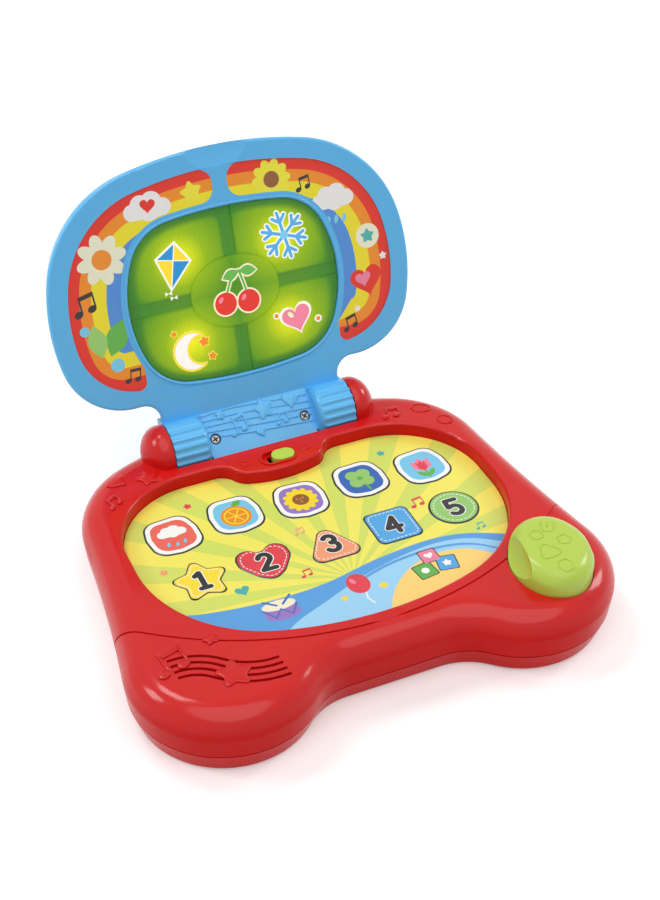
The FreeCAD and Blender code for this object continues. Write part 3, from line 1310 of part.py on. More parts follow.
def hinge_cover():
    """Front half of the barrel: fluted knuckles with a sloping field between them."""
    rear = box("cover_rear", (-sz.lug_face, -beyond, -beyond), (sz.lug_face, beyond, 0))
    orbit = sz.barrel_radius + sz.flute_radius - sz.flute_depth
    flutes = []
    for index in range(flute_count):
        angle = sz.flute_pitch * (index - (flute_count - 1) / 2)
        for way in (-1, 1):
            ends = sorted((way * sz.ramp_half_width, way * (sz.neck_half_width + 1)), key=lambda end: end.number)
            flutes.append(lengthwise("flute", ends[0], ends[1], orbit * sine_of(angle),
                                     orbit * cosine_of(angle), sz.flute_radius))
    seat = sz.ramp_distance - sz.cover_screw_recess
    holes = pin_seats("front_pin_seat") + lead_rooms("front_lead")[:2]
    for way in (-1, 1):
        holes.append(cover_screw_axis("cover_bore", way, -sz.barrel_radius, sz.ramp_distance,
                                      sz.screw_radius + sz.slide_gap))
        holes.append(cover_screw_axis("cover_recess", way, seat, sz.barrel_radius,
                                      sz.cover_screw_head + sz.slide_gap))
    half = cut("cover_half", barrel("cover_form", sz.barrel_radius), [rear])
    fluted = cut("cover_fluted", cut("cover_sloped", half, [ramp_block("cover_ramp")]), flutes)
    softened = cut("cover_softened", fluted, knuckle_edges())
    keep_on_lid("hinge_cover", cut("hinge_cover", softened, holes))

    screws = []
    for way in (-1, 1):
        screws.append(fused("cover_screw", [
            cover_screw_axis("cover_shank", way, seat - sz.cover_screw_length + sz.screw_head_height, seat,
                             sz.screw_radius),
            cover_screw_axis("cover_head", way, seat, seat + sz.screw_head_height / 2, sz.cover_screw_head)]))
    keep_on_lid("hinge_cover_screws", grouped("hinge_cover_screws", screws))


def hinge_pins():
    left = cut("left_pin_form", lengthwise("left_pin", -sz.pin_outer, -sz.pin_inner, 0, 0, sz.pin_radius),
               [lengthwise("left_pin_hollow", -sz.pin_outer - 1, 1 - sz.pin_inner, 0, 0, sz.pin_hollow)])
    keep_on_lid("left_hinge_pin", left)
    right = lengthwise("right_pin", sz.pin_inner, sz.pin_outer, 0, 0, sz.pin_radius)
    keep_on_lid("right_hinge_pin", grouped("right_pin_place", [right]))


def screen():
    """Lens in four pads round an oval, and the diffuser behind it."""
    body = new_body("lens_form")
    feature = pad(body, screen_outline(body, "lens_outline", lens_back, -sz.lens_gap), sz.lens_thickness)
    round_edges(body, feature, level_edges(body.Shape, lens_front.number), sz.lens_edge_round)
    flange = plate("lens_flange", screen_outline, lens_back, front_under, sz.lens_flange)
    low, high = lens_front - sz.channel_depth, lens_front + 1
    half = sz.channel_width / 2
    cross = [box("lens_channel", (-half, 0, low), (half, sz.lid_reach, high)),
             box("lens_channel", (-sz.lid_half_width, sz.screen_centre - half, low),
                 (sz.lid_half_width, sz.screen_centre + half, high))]
    channels = cut("lens_cross", fused("lens_channels", cross), [medallion("lens_medallion", 0, low - 1, high + 1)])
    groove = cut("lens_groove", medallion("groove_edge", sz.medallion_groove, low, high),
                 [medallion("groove_island", 0, low - 1, high + 1)])
    keep_on_lid("screen_lens", cut("screen_lens", fused("lens_with_flange", [body, flange]), [channels, groove]))
    keep_on_lid("screen_diffuser", plate("diffuser", screen_outline, light_box_front, lens_back, sz.lens_flange))


def medallion(name, grow, low, high):
    """Oval prism in the middle of the screen."""
    return oval_prism(name, (0, sz.screen_centre), low, high, sz.medallion_half_width + grow,
                      sz.medallion_half_height + grow)


def light_box():
    """White walls that keep the light of each lamp in its own quarter."""
    outer = plate("box_outer", screen_outline, led_board_front, light_box_front, -sz.lens_gap)
    inner = plate("box_inner", screen_outline, led_board_front - 1, light_box_front + 1,
                  -sz.lens_gap - sz.light_box_wall)
    half = sz.light_box_wall / 2
    walls = [box("box_wall", (-half, 0, led_board_front), (half, sz.lid_reach, light_box_front)),
             box("box_wall", (-sz.lid_half_width, sz.screen_centre - half, led_board_front),
                 (sz.lid_half_width, sz.screen_centre + half, light_box_front))]
    room = cut("box_room", inner, walls)
    keep_on_lid("light_box", cut("light_box", outer, [room]))


def led_board_posts():
    return [(way * (sz.led_board_half_width - 2 * sz.screw_radius),
             sz.screen_centre + rise * (sz.led_board_half_height - 2 * sz.screw_radius))
            for way in (-1, 1) for rise in (-1, 1)]


def led_board():
    board = box("led_board",
                (-sz.led_board_half_width, sz.screen_centre - sz.led_board_half_height, led_board_back),
                (sz.led_board_half_width, sz.screen_centre + sz.led_board_half_height, led_board_front))
    keep_on_lid("led_board", grouped("led_board_place", [board]))
    lamps = []
    for way in (-1, 1):
        for rise in (-1, 1):
            spot = (way * sz.led_across, sz.screen_centre + rise * sz.led_rise)
            dome = led_board_front + sz.led_height - sz.led_radius
            tip = ball("led_dome", spot + (dome,), sz.led_radius)
            tip.Angle1 = 0
            lamps.append(fused("led", [upright("led_body", spot, led_board_front, dome, sz.led_radius), tip]))
    keep_on_lid("screen_leds", grouped("screen_leds", lamps))


def picture_panels():
    low = front - sz.panel_depth
    pair = picture_field("panel", low, low + sz.panel_thickness)
    keep_on_lid("left_picture_panel", one_side("left_panel", pair, -1))
    keep_on_lid("right_picture_panel", one_side("right_panel", pair, 1))


def tube_along(points, bends, radius):
    """Round wire along straight runs and tangent arcs."""
    corners = [Vector(*[dim(value).number for value in point]) for point in points]
    print("bend radii", bends, "for a wire of radius", radius)
    edges = []
    start = corners[0]
    for before, corner, after, bend in zip(corners, corners[1:], corners[2:], bends):
        into = (corner - before).normalize()
        out = (after - corner).normalize()
        turn = into.getAngle(out)
        reach = bend * math.tan(turn / 2)
        first, last = corner - into * reach, corner + out * reach
        inward = (out - into).normalize()
        middle = corner + inward * (bend / math.cos(turn / 2) - bend)
        edges += [Part.LineSegment(start, first).toShape(), Part.Arc(first, middle, last).toShape()]
        start = last
    edges.append(Part.LineSegment(start, corners[-1]).toShape())
    path = Part.Wire(edges)
    ring = Part.Wire([Part.Circle(corners[0], corners[1] - corners[0], radius).toShape()])
    tube = path.makePipeShell([ring], True, False)
    expected = math.pi * radius ** 2 * path.Length
    if abs(tube.Volume / expected - 1) > 0.01:
        raise RuntimeError("lead volume differs from section times length")
    return tube


def leads():
    """Wire from the lamps down to the hinge axis and out through the left pin, then down into the base."""
    wire = sz.lead_radius.number
    bend = sz.lead_bend.number
    board_foot = sz.screen_centre - sz.led_board_half_height
    upper = [(lead_lid_across, board_foot, lead_level), (lead_lid_across, lead_rise, lead_level),
             (lead_lid_across, 0, 0), (lead_joint, 0, 0)]
    item = doc.addObject("Part::Feature", "lid_lead")
    item.Shape = tube_along(upper, [2 * bend, bend], wire)
    keep_on_lid("lid_lead", item)
    mid_sound = sz.sound_board_height + sz.board_thickness / 2
    plug_y = sz.sound_board_rear - sz.sound_board_depth / 4
    lower = [(lead_joint, sz.hinge_rear, sz.hinge_height), (lead_across, sz.hinge_rear, sz.hinge_height),
             (lead_across, sz.hinge_rear, mid_sound), (lead_across, plug_y, mid_sound),
             (-sz.sound_board_width / 2, plug_y, mid_sound)]
    item = doc.addObject("Part::Feature", "base_lead")
    item.Shape = tube_along(lower, [bend, bend, bend], wire)
    item.Placement = Placement()
    keep("base_lead", item)


dish_length = sz.knob_length + sz.knob_travel + 2 * sz.slide_gap
dish_width = sz.knob_width + 2 * sz.slide_gap
knob_across = sz.knob_travel / 2
lead_joint = sz.lead_radius - sz.pin_outer
lead_across = lead_joint - 1.05 * sz.lead_bend
bay_top = sz.wall + 2 * (sz.cell_radius + sz.bay_clearance)
door_screw_spot = (0, -sz.battery_setback - 2 * sz.cell_radius - 2 * sz.door_lip)
mouse_flange_top = deck_under - sz.slide_gap
dome_top = sz.mouse_board_height + sz.board_thickness + sz.dome_height
dome_gap = 0.05


base_top_shell()
base_bottom_shell()
keypad()
slider()
mouse()
sound_board()
speaker()
battery_pack()
keep("base_screws", grouped("base_screws", [
    screw("base_screw", spot, sz.counterbore_depth, sz.screw_length) for spot in base_screw_spots]))
lid_front_shell()
lid_back_shell()
hinge_cover()
hinge_pins()
screen()
light_box()
led_board()
picture_panels()
keep_on_lid("lid_screws", grouped("lid_screws", [
    screw("lid_screw", spot, back + sz.counterbore_depth, sz.back_shell_depth) for spot in lid_screw_spots]))
leads()
doc.recompute()

failed = [item.Name for item in doc.Objects if {"Invalid", "Error"} & set(item.State)]
if failed:
    raise RuntimeError(f"failed objects: {failed}")
for label, item in nodes.items():
    if item.Shape.isNull() or not item.Shape.isValid():
        raise RuntimeError(f"{label} has no valid shape")

os.makedirs("parts", exist_ok=True)
for label, item in nodes.items():
    item.Shape.exportStep(f"parts/{label}.step")
    print(label, len(item.Shape.Solids), round(item.Shape.Volume, 1))
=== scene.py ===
import json
import math

import bmesh
import bpy
from mathutils import Matrix, Vector
from mathutils.bvhtree import BVHTree
from mathutils.geometry import delaunay_2d_cdt


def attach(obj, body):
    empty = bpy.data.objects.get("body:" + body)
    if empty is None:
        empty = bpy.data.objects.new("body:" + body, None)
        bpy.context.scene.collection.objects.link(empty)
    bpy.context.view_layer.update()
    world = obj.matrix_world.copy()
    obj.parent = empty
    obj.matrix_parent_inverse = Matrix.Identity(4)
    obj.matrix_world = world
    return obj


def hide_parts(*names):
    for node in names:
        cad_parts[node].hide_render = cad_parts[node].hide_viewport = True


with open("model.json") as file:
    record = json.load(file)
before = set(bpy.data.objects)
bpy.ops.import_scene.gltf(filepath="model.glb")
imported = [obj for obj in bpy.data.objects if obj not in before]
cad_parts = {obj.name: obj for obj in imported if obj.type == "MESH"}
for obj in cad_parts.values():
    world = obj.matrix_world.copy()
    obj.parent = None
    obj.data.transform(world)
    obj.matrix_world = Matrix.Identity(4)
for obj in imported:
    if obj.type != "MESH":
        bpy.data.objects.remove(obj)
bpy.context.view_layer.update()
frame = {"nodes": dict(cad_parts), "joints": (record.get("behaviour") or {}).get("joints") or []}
nodes = frame["nodes"]
mm = 0.001
print("frame loaded,", len(nodes), "nodes")

view = {
    "place": (-0.2386, -0.5325, 0.5241), "azimuth": -24.393, "elevation": 37.458, "roll": 0.238,
    "lens": 65.91, "far": 50,
}


def newItem(name, data):
    item = bpy.data.objects.new(name, data)
    bpy.context.scene.collection.objects.link(item)
    return item


def placeCamera():
    around, above, roll = (math.radians(view[key]) for key in ("azimuth", "elevation", "roll"))
    back = Vector((math.sin(around) * math.cos(above), -math.cos(around) * math.cos(above), math.sin(above)))
    right = Vector((math.cos(around), math.sin(around), 0))
    up = back.cross(right)
    turnedRight = right * math.cos(roll) + up * math.sin(roll)
    turnedUp = up * math.cos(roll) - right * math.sin(roll)
    lens = bpy.data.cameras.new("camera")
    lens.lens = view["lens"]
    lens.clip_end = view["far"]
    camera = newItem("camera", lens)
    turn = Matrix((turnedRight, turnedUp, back)).transposed().to_4x4()
    camera.matrix_world = Matrix.Translation(view["place"]) @ turn
    bpy.context.scene.camera = camera


placeCamera()
print("camera placed")


# materials

def linear(red, green, blue):  # from the 0 to 255 values of a colour picker
    def channel(value):
        value /= 255
        return value / 12.92 if value <= 0.04045 else ((value + 0.055) / 1.055) ** 2.4
    return (channel(red), channel(green), channel(blue))


class Flow:  # a value on its way through a material
    def __init__(self, paint, socket):
        self.paint, self.socket = paint, socket

    def __add__(self, other):
        return self.paint.sum("ADD", self, other)

    def __radd__(self, other):
        return self.paint.sum("ADD", other, self)

    def __sub__(self, other):
        return self.paint.sum("SUBTRACT", self, other)

    def __rsub__(self, other):
        return self.paint.sum("SUBTRACT", other, self)

    def __mul__(self, other):
        return self.paint.sum("MULTIPLY", self, other)

    def __truediv__(self, other):
        return self.paint.sum("DIVIDE", self, other)

    def __pow__(self, other):
        return self.paint.sum("POWER", self, other)

    def __gt__(self, other):
        return self.paint.sum("GREATER_THAN", self, other)


class Paint:  # the nodes of one material, or of the world
    def __init__(self, name, world=None):
        self.material = world or bpy.data.materials.new(name)
        self.material.use_nodes = True
        self.tree = self.material.node_tree
        self.tree.nodes.clear()

    def feed(self, socket, value):
        if isinstance(value, Flow):
            self.tree.links.new(value.socket, socket)
        elif isinstance(value, tuple) and len(value) == 3 and socket.type == "RGBA":
            socket.default_value = (*value, 1)
        else:
            socket.default_value = value

    def add(self, kind, settings=None, out=0, **links):
        node = self.tree.nodes.new(kind)
        for key, value in (settings or {}).items():
            if key == "stops":
                while len(node.color_ramp.elements) < len(value):
                    node.color_ramp.elements.new(0.5)
                for element, (place, colour) in zip(node.color_ramp.elements, value):
                    element.position = place
                    element.color = (*colour, 1)
            else:
                setattr(node, key, value)
        for key, value in links.items():
            pick = int(key[1:]) if key[1:].isdigit() else key.replace("_", " ")
            self.feed(node.inputs[pick], value)
        return Flow(self, None if out is None else node.outputs[out])

    def sum(self, operation, first, second):
        return self.add("ShaderNodeMath", {"operation": operation}, i0=first, i1=second)

    def mix(self, share, first, second):
        return self.add("ShaderNodeMix", {"data_type": "RGBA"}, 2, i0=share, i6=first, i7=second)

    def spot(self):
        return self.add("ShaderNodeTexCoord", out="Object")

    def noise(self, scale, detail=2.0):
        return self.add("ShaderNodeTexNoise", Vector=self.spot(), Scale=scale, Detail=detail)

    def bump(self, height, strength, distance=0.0002):
        return self.add("ShaderNodeBump", Height=height, Strength=strength, Distance=distance)

    def clamp(self, value):
        return self.add("ShaderNodeClamp", Value=value)

    def between(self, value, start, end):  # 0 up to the start, and 1 from the end on
        return self.clamp((value - start) / (end - start))

    def seen(self):  # 1 where the eye, a mirror or clear glass looks, and 0 for light
        path = self.add("ShaderNodeLightPath").socket.node.outputs
        rays = [Flow(self, path[ray]) for ray in ("Is Camera Ray", "Is Glossy Ray", "Is Transmission Ray")]
        return self.clamp(rays[0] + rays[1] + rays[2])

    def close(self, shader, kind):
        self.add(kind, out=None, Surface=shader)
        return self.material

    def surface(self, **links):
        return self.close(self.add("ShaderNodeBsdfPrincipled", **links), "ShaderNodeOutputMaterial")


def shadeOf(colour, factor):
    return tuple(min(1, channel * factor) for channel in colour)


grain = {  # how fine each pattern is, in waves to the metre
    "cloud": 14, "peel": 1100, "film": 2200, "wash": 30, "scratch": 800, "weave": 700, "tracks": 160,
    "floor": 3,
}


def mouldedPlastic(name, colour, rough=0.24, drift=0.06, coat=0.12, gloss=0.35, polish=0.0):
    paint = Paint(name)
    cloud = paint.noise(grain["cloud"])  # slow drift of colour through the moulding
    peel = paint.noise(grain["peel"], 3)  # fine skin left by the mould
    tone = paint.mix(cloud, shadeOf(colour, 1 - drift), shadeOf(colour, 1 + drift))
    skin = paint.bump(peel, strength=0.06, distance=0.0004)
    if polish:  # the mould is polished for the upper faces and left dull for the sides
        normal = paint.add("ShaderNodeNewGeometry", out="Normal")
        upward = paint.add("ShaderNodeSeparateXYZ", out="Z", i0=normal)
        coat = paint.between(upward, 0.1, 0.5) * polish
    return paint.surface(Base_Color=tone, Roughness=(cloud - 0.5) * 0.1 + rough, Normal=skin,
                         Specular_IOR_Level=gloss, Coat_Weight=coat, Coat_Roughness=0.12)


def printedInk(name, colour, rough=0.3, glow=0.0):
    paint = Paint(name)
    film = paint.noise(grain["film"], 3)
    wash = paint.noise(grain["wash"])
    tone = paint.mix(wash * 0.7 + film * 0.3, shadeOf(colour, 0.94), shadeOf(colour, 1.05))
    return paint.surface(Base_Color=tone, Roughness=film * 0.12 + rough, Coat_Weight=0.12, Coat_Roughness=0.2,
                         Normal=paint.bump(film, strength=0.05), Emission_Color=tone, Emission_Strength=glow)


def platedSteel(name, colour, rough):
    paint = Paint(name)
    scratch = paint.noise(grain["scratch"], 4)
    tone = paint.mix(scratch, shadeOf(colour, 0.8), shadeOf(colour, 1.1))
    return paint.surface(Base_Color=tone, Metallic=1.0, Roughness=scratch * 0.2 + rough,
                         Normal=paint.bump(scratch, strength=0.1))


def fibreBoard(name, colour):
    paint = Paint(name)
    weave = paint.add("ShaderNodeTexVoronoi", Vector=paint.spot(), Scale=grain["weave"])
    tracks = paint.noise(grain["tracks"], 1) > 0.56
    tone = paint.mix(tracks, colour, shadeOf(colour, 1.8))
    return paint.surface(Base_Color=tone, Roughness=0.35 + weave * 0.1,
                         Normal=paint.bump(weave, strength=0.1))


pivot = next(joint["pos_m"] for joint in frame["joints"] if joint["name"] == "lid_hinge")
hinge = {"rear": pivot[1] / mm, "height": pivot[2] / mm, "lean": 72}
lamps = {
    "across": 25.5, "rise": 20.5, "reach": 28, "middle": 70.0, "rib": 1.25, "oval": (22.5, 17.2),
    "window": (54, 41.7), "bend": 3.4, "channel": 9, "edge": (0.3, 1.0), "pad": (0.12, 0.34),
    "rim": (0.62, 1.0), "channelInk": 0.72, "rimInk": 0.85, "glow": 0.5,
}


def glowingLens(name):  # ribbed green window with dark channels and rim, and a lamp behind each quarter
    paint = Paint(name)
    lean = math.radians(hinge["lean"])
    split = paint.add("ShaderNodeSeparateXYZ", i0=paint.spot()).socket.node
    x, y, z = (Flow(paint, socket) / mm for socket in split.outputs)
    rise = (y - hinge["rear"]) * math.cos(lean) + (z - hinge["height"]) * math.sin(lean) - lamps["middle"]
    across, up = paint.sum("ABSOLUTE", x, 0), paint.sum("ABSOLUTE", rise, 0)
    away = ((across - lamps["across"]) ** 2 + (up - lamps["rise"]) ** 2) ** 0.5
    glow = paint.clamp(1 - away / lamps["reach"])
    middle = (x / lamps["oval"][0]) ** 2 + (rise / lamps["oval"][1]) ** 2 > 1
    wide, high = lamps["window"]
    edge = (across / wide) ** lamps["bend"] + (up / high) ** lamps["bend"]
    nearCross = paint.clamp(1 - paint.sum("MINIMUM", across, up) / lamps["channel"]) ** 3 * middle
    nearEdge = paint.between(edge, *lamps["edge"]) ** 3
    channel = paint.between(nearCross + nearEdge, *lamps["pad"])  # rounds the pads' corners
    rim = paint.between(edge, *lamps["rim"])
    ribs = paint.sum("SINE", x * (2 * math.pi / lamps["rib"]), 0)
    ramp = {"stops": [(0, linear(70, 132, 18)), (0.5, linear(134, 170, 6)), (0.95, linear(226, 228, 14))]}
    lit = paint.add("ShaderNodeValToRGB", ramp, Fac=glow * (0.96 + ribs * 0.04))
    tone = paint.mix(channel * lamps["channelInk"], lit, linear(52, 118, 34))
    tone = paint.mix(rim * lamps["rimInk"], tone, linear(34, 96, 26))
    return paint.surface(Base_Color=tone, Roughness=0.3 + ribs * 0.04, Specular_IOR_Level=0.3,
                         Normal=paint.bump(ribs, strength=0.35, distance=0.0003), Coat_Weight=0.1,
                         Coat_Roughness=0.08, Emission_Color=tone, Emission_Strength=lamps["glow"])


finish = {
    "red": mouldedPlastic("moulded_red", linear(212, 26, 24), gloss=0.08, polish=0.5),
    "blue": mouldedPlastic("moulded_blue", linear(96, 191, 249), gloss=0.45),
    "lime": mouldedPlastic("moulded_lime", linear(187, 213, 84), coat=0.08, gloss=0.3),
    "white": mouldedPlastic("moulded_white", linear(236, 236, 232), rough=0.4, drift=0.03, coat=0.0),
    "dark": mouldedPlastic("moulded_dark", linear(40, 40, 44), rough=0.45, coat=0.0),
    "board": fibreBoard("fibre_board", linear(30, 110, 60)),
    "steel": platedSteel("plated_steel", (0.56, 0.56, 0.58), 0.25),
    "screw": platedSteel("screw_steel", (0.34, 0.34, 0.36), 0.3),
    # painted shadow: near-black steel for the hinge cover's screws, so the ring round each screw face looks
    # like the shade of its deep recess
    "recessShadow": platedSteel("screw_steel_painted_recess_shadow", (0.05, 0.05, 0.06), 0.5),
    "cell": mouldedPlastic("cell_wrap", linear(60, 70, 92), rough=0.3),
    "cone": mouldedPlastic("paper_cone", linear(44, 42, 40), rough=0.8, coat=0.0),
    "dome": mouldedPlastic("soft_dome", linear(220, 218, 208), rough=0.6, coat=0.0),
    "wire": mouldedPlastic("wire_skin", linear(30, 30, 30), rough=0.5, coat=0.0),
    "lens": glowingLens("lit_lens"),
}
wearing = {
    "red": ["base_top_shell", "base_bottom_shell", "battery_door"],
    "blue": ["lid_front_shell", "lid_back_shell", "hinge_cover"],
    "lime": ["mouse_button", "slider_knob"],
    "white": ["keypad_membrane", "slide_switch_lever", "screen_diffuser", "light_box", "screen_leds"],
    "dark": ["slide_switch_body", "board_parts"],
    "board": ["mouse_switch_board", "main_circuit_board", "led_board"],
    "steel": ["speaker_frame", "speaker_magnet", "battery_plates", "battery_springs", "left_hinge_pin",
              "right_hinge_pin"],
    # the hinge cover's screws wear the near-black steel that paints their recess shadow
    "screw": ["battery_door_screw", "base_screws", "lid_screws"], "recessShadow": ["hinge_cover_screws"],
    "cell": ["battery_cells"], "cone": ["speaker_cone"], "dome": ["mouse_contact_dome"],
    "wire": ["lid_lead", "base_lead"], "lens": ["screen_lens"],
}


def dress(item, *materials):
    item.data.materials.clear()
    for material in materials:
        item.data.materials.append(material)


for look, names in wearing.items():
    for name in names:
        dress(nodes[name], finish[look])
inkColours = {
    "yellow": (246, 235, 100), "ray": (214, 225, 102), "midBlue": (88, 160, 224), "sand": (252, 214, 122),
    "lightBlue": (158, 212, 246), "black": (34, 32, 36), "paper": (250, 250, 246), "keyRed": (226, 62, 76),
    "peach": (246, 160, 118), "keyBlue": (82, 168, 228), "keyGreen": (150, 202, 110), "leaf": (96, 176, 72),
    "keyYellow": (252, 222, 60), "violet": (150, 120, 196), "orange": (240, 142, 40), "teal": (72, 176, 170),
    "pink": (240, 130, 160), "brown": (140, 88, 48), "deepBlue": (52, 104, 184), "stripeRed": (220, 48, 32),
    "stripeOrange": (240, 138, 32), "stripeYellow": (250, 218, 40), "stripeBlue": (78, 140, 214),
    "coral": (238, 104, 92), "iconBlue": (24, 142, 206), "cream": (252, 238, 206), "sky": (120, 200, 236),
}


def inkSet(prefix, strength=1.0, glow=0.0):
    return {name: printedInk(prefix + name, shadeOf(linear(*colour), strength), glow=glow)
            for name, colour in inkColours.items()}


inks = inkSet("ink_")
lidInksPaintedBright = inkSet("lid_ink_", strength=1.22)  # for the lid's panels: painted light, the same inks made 1.22 times brighter because the panels stand away from the lamps
litInks = inkSet("lit_ink_", glow=0.32)  # for the screen, which is lit from behind
print("materials made")


# flat shapes, in millimetres

def arc(x, y, radius, start, end, count=16):
    angles = [math.radians(start + (end - start) * step / count) for step in range(count + 1)]
    return [(x + radius * math.cos(angle), y + radius * math.sin(angle)) for angle in angles]


def disc(x, y, radius, count=28):
    return arc(x, y, radius, 0, 360, count)[:-1]


def oval(x, y, across, along, turn=0, count=32):
    return moved(scaled(disc(0, 0, 1, count), across, along), x, y, turn)


def scaled(shape, across, along=None):
    return [(px * across, py * (across if along is None else along)) for px, py in shape]


def moved(shape, x=0, y=0, turn=0):
    cosine, sine = math.cos(math.radians(turn)), math.sin(math.radians(turn))
    return [(x + px * cosine - py * sine, y + px * sine + py * cosine) for px, py in shape]


def softCorners(corners, radius, count=6, most=0.48):  # rounds each corner, or less where a side is short
    shape = []
    for index, corner in enumerate(corners):
        here = Vector(corner)
        before, after = Vector(corners[index - 1]) - here, Vector(corners[(index + 1) % len(corners)]) - here
        half = before.angle(after) / 2
        reach = min(radius / math.tan(half), most * min(before.length, after.length))
        bend = reach * math.tan(half)
        middle = here + (before.normalized() + after.normalized()).normalized() * (bend / math.sin(half))
        first, last = here + before.normalized() * reach - middle, here + after.normalized() * reach - middle
        sweep = math.degrees(first.angle_signed(last))
        for step in range(count + 1):
            shape += moved([first], *middle, -sweep * step / count)
    return shape


def starShape(points=5, inner=0.55, soft=0.14):
    corners = []
    for index in range(2 * points):
        reach = 1 if index % 2 == 0 else inner
        angle = math.pi / 2 + math.pi * index / points
        corners.append((reach * math.cos(angle), reach * math.sin(angle)))
    return softCorners(corners, soft)


def heartShape(count=48, size=17, lift=2.5):  # the usual heart curve, brought to about 1 each way
    shape = []
    for step in range(count):
        angle = 2 * math.pi * step / count
        across = 16 * math.sin(angle) ** 3
        along = 13 * math.cos(angle) - 5 * math.cos(2 * angle) - 2 * math.cos(3 * angle) - math.cos(4 * angle)
        shape.append((across / size, (along + lift) / size))
    return softCorners(shape[::-1], 0.05, 2)


def plumpHeart():
    right = [(0.46, 0.92), (0.98, 0.66), (1.0, 0.06), (0.5, -0.66)]
    left = [(-x, y) for x, y in right[::-1]]
    return softCorners([(0, 0.5)] + right + [(0, -1.0)] + left, 0.5)


def squareShape(soft=0.3):
    return softCorners([(-1, -1), (1, -1), (1, 1), (-1, 1)], soft, 8)


def triangleShape(size=1.3, drop=0.2):
    return softCorners([(x * size, y * size - drop) for x, y in arc(0, 0, 1, 90, 330, 2)], 0.34, 8)


def star(x, y, size, turn=0):
    return moved(scaled(starShape(), size), x, y, turn)


def heart(x, y, size, turn=0):
    return moved(scaled(heartShape(), size), x, y, turn)


def leaf(x, y, length, width, turn, count=12):
    upper = [(length * (step / count), width * math.sin(math.pi * step / count)) for step in range(count + 1)]
    return moved(upper + [(px, -py) for px, py in upper[-2:0:-1]], x, y, turn)


def stroke(points, width, count=14):  # a round-ended line as overlapping capsules
    shapes = [disc(*points[0], width / 2, count)]
    for start, end in zip(points, points[1:]):
        first, last = Vector(start), Vector(end)
        way = last - first
        side = Vector((-way.y, way.x)).normalized() * (width / 2)
        shapes.append([tuple(first - side), tuple(last - side), tuple(last + side), tuple(first + side)])
        shapes.append(disc(*end, width / 2, count))
    return shapes


def strokes(lines, width):
    return [part for line in lines for part in stroke(line, width)]


def dashes(shape, dash, gap, width, fine=0.2):  # stitches along a closed line
    lines, run, travelled = [], [], 0
    for start, end in zip(shape, shape[1:] + shape[:1]):
        length = math.dist(start, end)
        steps = max(1, int(length / fine))
        for step in range(steps):
            share = step / steps
            if travelled % (dash + gap) < dash:
                run.append((start[0] + (end[0] - start[0]) * share, start[1] + (end[1] - start[1]) * share))
            elif len(run) > 1:
                lines.append([run[0], run[len(run) // 2], run[-1]])
                run = []
            travelled += length / steps
    return strokes(lines, width)


def fan(x, y, reach, count, share, turn):
    starts = [turn + 360 * index / count for index in range(count)]
    return [[(x, y)] + arc(x, y, reach, start, start + 360 * share / count, 3) for start in starts]


def petals(x, y, count, radius, size, turn=0, slim=0.62):
    spots = [math.radians(turn + 360 * index / count) for index in range(count)]
    return [oval(x + radius * math.cos(angle), y + radius * math.sin(angle), size, size * slim,
                 math.degrees(angle), 20) for angle in spots]


def cloudShape(x, y, size):
    puffs = [(-0.95, -0.05, 0.5), (-0.4, 0.3, 0.6), (0.3, 0.35, 0.66), (0.95, 0.0, 0.52), (0.1, -0.1, 0.62)]
    foot = softCorners([(-1.0, -0.55), (1.0, -0.55), (1.0, 0.1), (-1.0, 0.1)], 0.3, 4)
    shapes = [disc(x + px * size, y + py * size, radius * size, 24) for px, py, radius in puffs]
    return shapes + [moved(scaled(foot, size), x, y)]


def noteShape(x, y, size, turn=0):  # pair of quavers under one beam
    parts = [oval(-0.55, -0.62, 0.34, 0.26, 20, 20), oval(0.5, -0.48, 0.34, 0.26, 20, 20),
             [(-0.34, -0.6), (-0.2, -0.6), (-0.2, 0.5), (-0.34, 0.5)],
             [(0.7, -0.46), (0.84, -0.46), (0.84, 0.64), (0.7, 0.64)],
             [(-0.34, 0.3), (0.84, 0.44), (0.84, 0.76), (-0.34, 0.62)]]
    return [moved(scaled(part, size), x, y, turn) for part in parts]


digitLines = [
    [[(-0.24, 0.44), (0.04, 0.64), (0.04, -0.62)], [(-0.22, -0.62), (0.3, -0.62)]],
    [arc(0, 0.3, 0.34, 165, -40, 12) + [(-0.36, -0.62), (0.38, -0.62)]],
    [arc(0, 0.32, 0.32, 150, -80, 12), arc(0, -0.3, 0.36, 85, -150, 12)],
    [[(0.18, -0.64), (0.18, 0.64), (-0.4, -0.22), (0.42, -0.22)]],
    [[(0.34, 0.64), (-0.28, 0.64), (-0.32, 0.06)] + arc(0, -0.24, 0.38, 128, -140, 14)],
]


# printed sheets: every shape is laid over the one before, and each face keeps the ink on top

def signedArea(shape):
    return sum(ax * by - bx * ay for (ax, ay), (bx, by) in zip(shape, shape[1:] + shape[:1])) / 2


